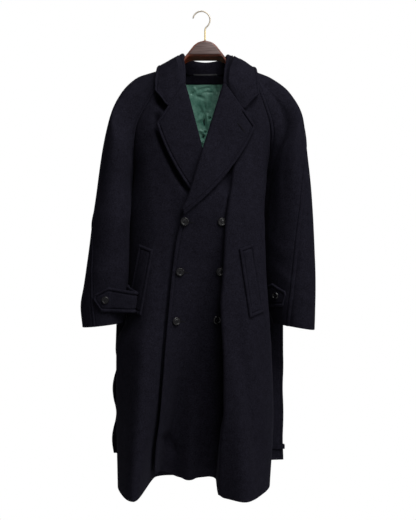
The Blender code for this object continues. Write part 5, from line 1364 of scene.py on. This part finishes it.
for name, pocket in POCKETS.items():
    top = np.array(pocket.top)
    foot = np.array(pocket.foot)
    way = unit(top - foot)
    across = np.array([way[1], -way[0]])
    long = np.linalg.norm(top - foot)
    rows = []
    for up in spaced(1.0, STITCHED / long, STITCHED / long, 40):
        rows.append([])
        for share in spaced(1.0, STITCHED / pocket.width, STITCHED / pocket.width, 4) - 0.5:
            slant = share * pocket.side * POCKET_SLANT * pocket.width
            place = foot + (top - foot) * up + across * share * pocket.width + way * slant
            rows[-1].append(on_front(pocket.side, *place))
    outer, inner = walls(rows, WELT_GAP + WELT, WELT_GAP)
    edge = from_border(outer)
    melton_piece(f"pocket_welt_{name}", outer, inner, edge, swelled(edge, DOUBLED_SWELL),
                 flat=(0.048, 0.186), held="laid", rests_on=[f"front_{name}_cloth"])

# Front buttons
# Six cast-resin buttons of 23 mm with a raised rim, polished. Each is sewn on with two bars of dark thread.
# The column at the overlapping edge has worked buttonholes beside it, and the lapel has one near its corner.
BUTTON_RADIUS = 0.0115
BUTTON_HEIGHTS = (-0.582, -0.713, -0.842)
BUTTON_ACROSS = {"right": (-0.0425, -0.0550, -0.0655), "left": (0.0535, 0.0505, 0.0415)}
BUTTON_FACE = 0.0027
BUTTON_STAND = 0.0018
BUTTON_PROFILE = [
    (0.000, 0.0000), (0.780, 0.0000), (0.930, 0.0004), (0.990, 0.0010), (1.000, 0.0016), (0.985, 0.0022),
    (0.910, 0.0034), (0.830, 0.0043), (0.760, 0.0046), (0.700, 0.0042), (0.660, 0.0032), (0.620, 0.0026),
    (0.560, 0.0024), (0.500, 0.0026), (0.000, BUTTON_FACE),
]
THREAD_RADIUS = 0.00075
HOLE_THREAD_RADIUS = 0.0006
HOLE_HALF_WIDTH = 0.0010
HOLE_START = (0.0060, -0.001)
HOLE_END = (0.0225, -0.003)
HOLE_HEIGHT = 0.0004
LAPEL_HOLE_HEIGHT = 0.0092

# Cast resin is veined like horn: smoky streaks a few millimetres apart.
button_resin, where = new_material("polished black resin", {
    "Roughness": 0.20, "IOR": 1.54, "Specular IOR Level": 0.34,
})
veins = add_node(button_resin, "TexNoise", {
    "Vector": where, "Scale": 210.0, "Detail": 3.0, "Distortion": 1.5,
})
add_node(button_resin, "ValToRGB", {"Fac": veins}, to="Base Color",
         stops=((0.40, "#0e0d10"), (0.75, "#1c1b1f")))

# Waxed thread: plies of 0.7 mm, drawn as a random mottle of lighter and darker specks.
sewing_thread, where = new_material("waxed dark thread", {"Roughness": 0.85, "Specular IOR Level": 0.15})
ply = add_node(sewing_thread, "TexNoise", {"Vector": where, "Scale": 1500.0, "Detail": 2.0})
add_node(sewing_thread, "Mix", {0: ply, 6: "#0f0e12", 7: "#1d1c22"}, 2, "Base Color", data_type="RGBA")


def button_mesh(base, normal, radius):
    """A button turned from its profile, with its place and tilt."""
    bm = bmesh.new()
    line = [bm.verts.new((r * radius, 0.0, h)) for r, h in BUTTON_PROFILE]
    edges = [bm.edges.new(pair) for pair in zip(line, line[1:])]
    bmesh.ops.spin(bm, geom=line + edges, cent=(0, 0, 0), axis=(0, 0, 1), angle=2 * math.pi, steps=40,
                   use_merge=True)
    bmesh.ops.remove_doubles(bm, verts=bm.verts, dist=1e-6)
    turn = Vector((0, 0, 1)).rotation_difference(Vector(normal)).to_matrix().to_4x4()
    turn.translation = Vector(base)
    bmesh.ops.transform(bm, matrix=turn, verts=bm.verts)
    return bm, turn


def thread_mesh(turn, radius, height):
    """Two parallel bars of thread over the sewing holes of a button."""
    bm = bmesh.new()
    for y in (-0.15, 0.15):
        path = np.column_stack([np.linspace(-0.24, 0.24, 9) * radius, np.full(9, y * radius), np.zeros(9)])
        path[:, 2] = height + 0.0011 * np.sin(np.linspace(0, math.pi, 9)) ** 0.6 - 0.0004
        part = capped_tube(round_section(path, unit(np.gradient(path, axis=0)), (0, 1, 0), THREAD_RADIUS, 8))
        mesh = bpy.data.meshes.new("bar")
        part.to_mesh(mesh)
        part.free()
        bm.from_mesh(mesh)
        bpy.data.meshes.remove(mesh)
    bmesh.ops.transform(bm, matrix=turn, verts=bm.verts)
    return bm


def add_button(node, base, normal, radius):
    bm, turn = button_mesh(base, normal, radius)
    add_piece(f"{node}_resin", bm, button_resin, "button_resin", node)
    add_piece(f"{node}_thread", thread_mesh(turn, radius, BUTTON_FACE), sewing_thread, "wool_cloth")


def above_front(x, z, height, cloth):
    """A point a height above the overlapping front."""
    point, normal = on_front(1, x, z, cloth)
    return point + normal * height


def add_buttonhole(name, start, end, height, cloth=True):
    """A worked buttonhole: a narrow ring of thread over the cut, from one end to the other."""
    start = np.array(start)
    way = unit(np.array(end) - start)
    across = np.array([-way[1], way[0]])
    half = np.linalg.norm(np.array(end) - start) / 2
    angle = np.linspace(0, 2 * math.pi, 49)
    flat = start + way * half + np.outer(np.cos(angle) * half, way)
    flat = flat + np.outer(np.sin(angle) * HOLE_HALF_WIDTH, across)
    path = np.array([above_front(x, z, height, cloth) for x, z in flat])
    path[-1] = path[0]
    tangents = np.roll(path[:-1], -1, axis=0) - np.roll(path[:-1], 1, axis=0)
    rings = round_section(path, unit(np.vstack([tangents, tangents[:1]])), (0, 1, 0), HOLE_THREAD_RADIUS, 8)
    add_piece(f"{name}_thread", mapped_grid(rings), sewing_thread, "wool_cloth")


for number, place in enumerate(zip(BUTTON_ACROSS["right"], BUTTON_HEIGHTS), 1):
    add_buttonhole(f"buttonhole_{number}", np.add(place, HOLE_START), np.add(place, HOLE_END), HOLE_HEIGHT)
add_buttonhole("lapel_buttonhole", (0.0936, -0.3212), (0.1135, -0.3469), LAPEL_HOLE_HEIGHT, cloth=False)

for column, places in BUTTON_ACROSS.items():
    for number, (x, z) in enumerate(zip(places, BUTTON_HEIGHTS), 1):
        point, normal = on_front(1, x, z)
        side = unit(np.cross(normal, upright))
        around = [on_front(1, x + s * side[0] * 0.009, z)[0] for s in (-1, 1)]
        rise = max(float(np.dot(p - point, normal)) for p in around)
        base = point + normal * (max(rise, 0.0) + BUTTON_STAND)
        add_button(f"button_{column}_{number}", base, normal, BUTTON_RADIUS)

# Cuff straps
# Each cuff has a strap of doubled melton, sewn into the inner seam and pointed at its buttoned end. The right
# one stands away from the sleeve in a slack loop.
STRAP = 0.005
STRAP_WIDTH = 0.056
STRAP_GAP = 0.0022
Strap = namedtuple("Strap", "height tip leave slack top foot button length")
STRAPS = {
    "right": Strap(-0.787, -0.2817, -0.2355,
                   [(-0.2150, -0.1035), (-0.1950, -0.1045), (-0.1780, -0.1035), (-0.1715, -0.0985),
                    (-0.1755, -0.0925), (-0.1860, -0.0830), (-0.1940, -0.0720), (-0.1950, -0.0610)],
                   [(0.0, -0.7738), (0.038, -0.7532), (0.115, -0.7658), (0.165, -0.7460)],
                   [(0.0, -0.7828), (0.026, -0.8181), (0.115, -0.8208), (0.165, -0.8060)],
                   (-0.2505, -0.7857), 0.165),
    "left": Strap(-0.778, 0.2286, 0.1830, [], [(0.0, -0.7661), (0.040, -0.7448), (0.075, -0.7580)],
                  [(0.0, -0.7751), (0.014, -0.8071), (0.075, -0.8098)], (0.2059, -0.7763), 0.080),
}
STRAP_SWELL = 0.0026
STRAP_APEX = 0.007
CUFF_BUTTON_RADIUS = 0.0100
CUFF_BUTTON_STAND = 0.0014


def on_sleeve(name, share, z):
    """Point and normal of a sleeve at a share of the way round from the inner seam and a height."""
    rings, out, around = (grid[name][ROWS_ABOVE:] for grid in (sleeves, sleeve_out, sleeve_around))
    heights = [np.interp(share, a, ring[:, 2]) for a, ring in zip(around, rings)]
    row = float(np.interp(-z, -np.array(heights), np.arange(len(rings))))
    i = min(int(row), len(rings) - 2)
    pairs = [[points_at(grid[k], around[k], share) for k in (i, i + 1)] for grid in (rings, out)]
    point, normal = (mix(pair, row - i) for pair in pairs)
    normal = unit(normal)
    return point + normal * creases(SLEEVE_CREASES[name], np.array([share]), np.array([z]))[0], normal


for name, strap in STRAPS.items():
    side = REVERS[name].side
    shares = np.linspace(0.02, 0.95, 70)
    ring = np.array([on_sleeve(name, s, strap.height)[0] for s in shares])
    most_in = int(np.argmin(side * ring[:, 0]))
    seen = side * ring[most_in:, 0], shares[most_in:]
    on_cuff = [float(np.interp(side * x, *seen)) for x in np.linspace(strap.tip, strap.leave, 6)]
    if not strap.slack:
        on_cuff += list(np.linspace(on_cuff[-1], 0.03, 4)[1:])
    plan = []
    for s in on_cuff:
        point, normal = on_sleeve(name, s, strap.height)
        plan.append((point + normal * (STRAP_GAP + STRAP / 2))[:2])
    path = smooth_path(plan + [np.array(p) for p in strap.slack], 12)
    run = run_of(path)
    shares_on = np.array(on_cuff + [on_cuff[-1]] * len(strap.slack))
    knots = run[::12]
    path_way = np.gradient(path, axis=0)
    rows = []
    for place in spaced(run[-1], STITCHED, np.zeros(1), 60):
        x, y, way_x, way_y = (np.interp(place, run, v) for v in (*path.T, *path_way.T))
        normal = unit(np.array([way_y, -way_x, 0.0])) * (-side)
        high, low = (np.interp(place, *np.array(edge).T) for edge in (strap.top, strap.foot))
        share = float(np.interp(place, knots, shares_on))
        loose = step((place - knots[len(on_cuff) - 1]) / 0.03) if strap.slack else 0.0
        middle = on_sleeve(name, share, strap.height)[0]
        rows.append([])
        for up in spaced(1.0, STITCHED / STRAP_WIDTH, STITCHED / STRAP_WIDTH, 8):
            z = mix((low, high), up)
            lean = (on_sleeve(name, share, z)[0] - middle)[:2] * (1 - loose)
            apex = STRAP_APEX * (up - 0.5) * loose * step((run[-1] - place) / 0.05)
            rows[-1].append((np.array([x + lean[0] - side * apex, y + lean[1], z]), normal))
    outer, inner = walls(rows, STRAP / 2, -STRAP / 2)
    edge = from_border(outer, "first column", "last column", "first row")
    melton_piece(f"cuff_strap_{name}", outer, inner, edge, swelled(edge, STRAP_SWELL),
                 flat=(STRAP_WIDTH, strap.length), held="folded", rests_on=[f"sleeve_front_{name}_cloth"])
    x, z = strap.button
    point, normal = on_sleeve(name, float(np.interp(side * x, *seen)), z)
    base = point + normal * (STRAP_GAP + STRAP + CUFF_BUTTON_STAND)
    add_button(f"cuff_button_{name}", base, normal, CUFF_BUTTON_RADIUS)

# Belt
# A belt of doubled melton, 46 mm wide and 1.65 m long, stitched along both edges. It runs through two loops
# on the back, turns down at each side and hangs behind the coat. A keeper of wool is on its left end.
BELT = 0.0045
BELT_WIDTH = 0.046
WAIST = -0.655
BELT_GAP = 0.0008
BELT_LOOP_WIDTH = 0.014
BELT_LOOP_WALL = 0.0030
BELT_LOOP_EASE = 0.0025
BELT_LOOP_TAB = 0.016
BELT_LOOP_AT = {"right": -0.105, "left": 0.090}
BELT_CORNER = {"right": (-0.2160, 0.100), "left": (0.2075, 0.106)}
BELT_BEND = {"right": (-0.165, 0.093), "left": (0.150, 0.098)}
BELT_END = {"right": -1.247, "left": -1.268}
BELT_WAVE = {"right": 0.006, "left": 0.001}
BELT_WAVE_LENGTH = 0.150
BELT_WAVE_START = 0.224
BELT_WAVE_BACK = 1.4
BELT_DRIFT = {"right": -0.0105, "left": 0.000}
BELT_DRIFT_FALL = 0.45
BELT_FALL_START = 0.06
BELT_FOLD_RADIUS = 0.0030
BELT_SLANT_ZONE = 0.070
BELT_SWELL = 0.0010
KEEPER_WALL = 0.002
KEEPER_ROUNDING = 0.3
waist = back_row(plain_back + back_out * (BELT_GAP + BELT / 2), WAIST - BELT_WIDTH / 2)[:, :2]
kept = waist[(waist[:, 0] > BELT_LOOP_AT["right"] - 0.02) & (waist[:, 0] < BELT_LOOP_AT["left"] + 0.02)]
belt_plan = np.vstack([
    BELT_CORNER["right"], BELT_BEND["right"], kept, BELT_BEND["left"], BELT_CORNER["left"],
])
belt_run = run_of(belt_plan)
belt_length = belt_run[-1]


def belt_point(l, w):
    """A point of the belt's middle surface and its normal, from the place along it and across it."""
    if l < belt_length / 2:
        corner, inward, name, beyond = belt_plan[0], belt_plan[1] - belt_plan[0], "right", -l
    else:
        corner, inward, name, beyond = belt_plan[-1], belt_plan[-2] - belt_plan[-1], "left", l - belt_length
    away = np.array([*-unit(inward), 0.0])
    out = np.array([-away[1], away[0], 0.0])
    out = out if out[1] > 0 else -out
    over = np.array([away[0], away[1], 1.0]) / math.sqrt(2)
    past = (beyond + w) / math.sqrt(2)
    flat = np.array([*corner, WAIST]) + away * beyond + np.array([0, 0, w])
    if past <= 0:
        if 0 <= l <= belt_length:
            x, y = (np.interp(l, belt_run, belt_plan[:, k]) for k in range(2))
            flat = np.array([x, y, WAIST + w])
        return flat, out, name
    foot = flat - over * past
    turn = past / BELT_FOLD_RADIUS
    if turn < math.pi:
        rolled = over * math.sin(turn) + out * (1 - math.cos(turn))
        return foot + rolled * BELT_FOLD_RADIUS, out * math.cos(turn) - over * math.sin(turn), name
    return foot - over * (past - math.pi * BELT_FOLD_RADIUS) + out * 2 * BELT_FOLD_RADIUS, -out, name


turn = math.pi * BELT_FOLD_RADIUS * math.sqrt(2)
corner = np.concatenate([
    np.linspace(-turn - BELT_SLANT_ZONE, -turn, 14), np.linspace(-turn, 0, 13)[1:],
    np.linspace(0, BELT_SLANT_ZONE, 14)[1:],
])
slant = 1 - step(np.maximum(corner, -turn - corner) / BELT_SLANT_ZONE)
falls = {}
for name, end in BELT_END.items():
    falls[name] = spaced(WAIST - end + corner[0], STITCHED, np.zeros(1), 70)[:-1] - (WAIST - end)
middle = np.linspace(corner[-1], belt_length - corner[-1], 60)[1:-1]
places = np.concatenate([
    falls["right"], corner, middle, belt_length - corner[::-1], belt_length - falls["left"][::-1],
])
slants = np.concatenate([0 * falls["right"], slant, 0 * middle, -slant[::-1], 0 * falls["left"]])
rows = []
for l, lean in zip(places, slants):
    rows.append([])
    for w in spaced(BELT_WIDTH, STITCHED[:-1], STITCHED[:-1], 4) - BELT_WIDTH / 2:
        point, normal, name = belt_point(l + lean * w, w)
        fall = max(0.0, WAIST - BELT_FALL_START - point[2])
        wave = math.sin(2 * math.pi * (fall - BELT_WAVE_START) / BELT_WAVE_LENGTH)
        sway = BELT_WAVE[name] * step((fall - BELT_WAVE_START + 0.02) / 0.08) * wave
        drift = BELT_DRIFT[name] * step(fall / BELT_DRIFT_FALL)
        rows[-1].append((point + np.array([sway + drift, BELT_WAVE_BACK * abs(sway), 0.0]), normal))
outer, inner = walls(rows, BELT / 2, -BELT / 2)
edge = from_border(outer)
melton_piece("belt", outer, inner, edge, swelled(edge, BELT_SWELL),
             flat=(0.046, 1.65), held="folded", rests_on=["belt_loop_right_cloth", "belt_loop_left_cloth"])

clear = BELT_WIDTH / 2 + BELT_LOOP_EASE
tabs = (clear + BELT_LOOP_TAB, clear + BELT_LOOP_TAB / 2, clear)
worked = TURNED[:5] / BELT_LOOP_WIDTH
for name, x_middle in BELT_LOOP_AT.items():
    lines = []
    for x in x_middle + (spaced(1.0, worked, worked, 5) - 0.5) * BELT_LOOP_WIDTH:
        line = []
        for dz in (*tabs, 0.0, *[-tab for tab in tabs[::-1]]):
            on_back = back_row(plain_back, WAIST + dz)
            y = np.interp(x, on_back[:, 0], on_back[:, 1]) + 0.0010
            if abs(dz) <= clear:
                y = np.interp(x, belt_plan[:, 0], belt_plan[:, 1]) + BELT / 2 + 0.0026
            line.append((x, y, WAIST + dz))
        lines.append(smooth_path(line, 8))
    inner = np.moveaxis(np.array(lines), 0, 1)
    out = grid_normals(inner, np.array([0.0, 1.0, 0.0]))
    melton_piece(f"belt_loop_{name}", inner + out * BELT_LOOP_WALL, inner, from_border(inner),
                 flat=(0.014, 0.092), held="stretched", rests_on=["back_cloth"])

low, high = np.array(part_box("belt_keeper"))
centre = (low + high) / 2
half = (high - low) / 2
ring = squared_ring(61, KEEPER_ROUNDING)
rows = spaced(2 * half[2], TURNED[:5], TURNED[:5], 4) - half[2]
walls = []
for inset in (0.0, KEEPER_WALL):
    plan = centre[:2] + ring * (half[:2] - inset)
    walls.append(np.array([np.column_stack([plan, np.full(len(plan), centre[2] + z)]) for z in rows]))
melton_piece("belt_keeper", *walls, from_border(walls[0], "first row", "last row"),
             flat=(0.012, 0.135), held="stretched", rests_on=["belt_cloth"])

# Studio
# A pale floor well under the hanging coat and a white surround. A large key light stands at the upper right
# front, with a weak one at the right, a weaker one at the left and one behind. The camera stands level.
FLOOR_HEIGHT = -1.95
CAMERA_DISTANCE = 2.1
SEEN_HEIGHT = 1.43
SENSOR = 36.0
bm = bmesh.new()
bmesh.ops.create_circle(bm, cap_ends=True, segments=64, radius=1.5)
bmesh.ops.translate(bm, verts=bm.verts, vec=(0, 0, FLOOR_HEIGHT))
mesh = bpy.data.meshes.new("studio_floor")
bm.to_mesh(mesh)
bm.free()
floor = bpy.data.objects.new("studio_floor", mesh)
bpy.context.scene.collection.objects.link(floor)
# Studio paper, faintly mottled.
paper, where = new_material("pale studio paper", {"Roughness": 0.9})
fibre = add_node(paper, "TexNoise", {"Vector": where, "Scale": 40.0, "Detail": 4.0})
add_node(paper, "Mix", {0: fibre, 6: "#e9e8e6", 7: "#eeedeb"}, 2, "Base Color", data_type="RGBA")
mesh.materials.append(paper)
floor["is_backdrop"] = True

world = bpy.data.worlds.new("white surround")
bpy.context.scene.world = world
world.use_nodes = True
world.node_tree.nodes["Background"].inputs["Color"].default_value = (1.0, 1.0, 1.0, 1.0)
camera_ray = add_node(world, "LightPath", {}, "Is Camera Ray")
glossy_ray = add_node(world, "LightPath", {}, "Is Glossy Ray")
seen = add_node(world, "Math", {0: camera_ray, 1: 0.965, 2: 0.035}, operation="MULTIPLY_ADD")
add_node(world, "Math", {0: glossy_ray, 1: 0.3, 2: seen}, to="Strength", operation="MULTIPLY_ADD")
LIGHTS = [
    ("key", (1.3, -2.2, 2.2), 116.0, 2.4), ("side", (2.6, -1.9, 0.2), 20.0, 1.5),
    ("fill", (-0.4, -2.8, 0.6), 4.0, 1.6), ("back", (0.5, 2.8, 1.2), 60.0, 2.0),
]
LIT_POINT = Vector((0, 0, -0.55))
for name, place, power, size in LIGHTS:
    lamp = bpy.data.lights.new(name, "AREA")
    lamp.energy = power
    lamp.size = size
    light = bpy.data.objects.new(name, lamp)
    light.location = place
    light.rotation_mode = "QUATERNION"
    light.rotation_quaternion = (LIT_POINT - Vector(place)).to_track_quat("-Z", "Y")
    bpy.context.scene.collection.objects.link(light)
bpy.context.scene.view_settings.view_transform = "Standard"

lens = bpy.data.cameras.new("level camera")
lens.sensor_fit = "VERTICAL"
lens.sensor_height = SENSOR
lens.lens = SENSOR * CAMERA_DISTANCE / SEEN_HEIGHT
camera = bpy.data.objects.new("level camera", lens)
camera.location = (0.0179, -CAMERA_DISTANCE, -0.682)
camera.rotation_euler = (math.pi / 2, 0.0, 0.0)
bpy.context.scene.collection.objects.link(camera)
bpy.context.scene.camera = camera

low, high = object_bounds()
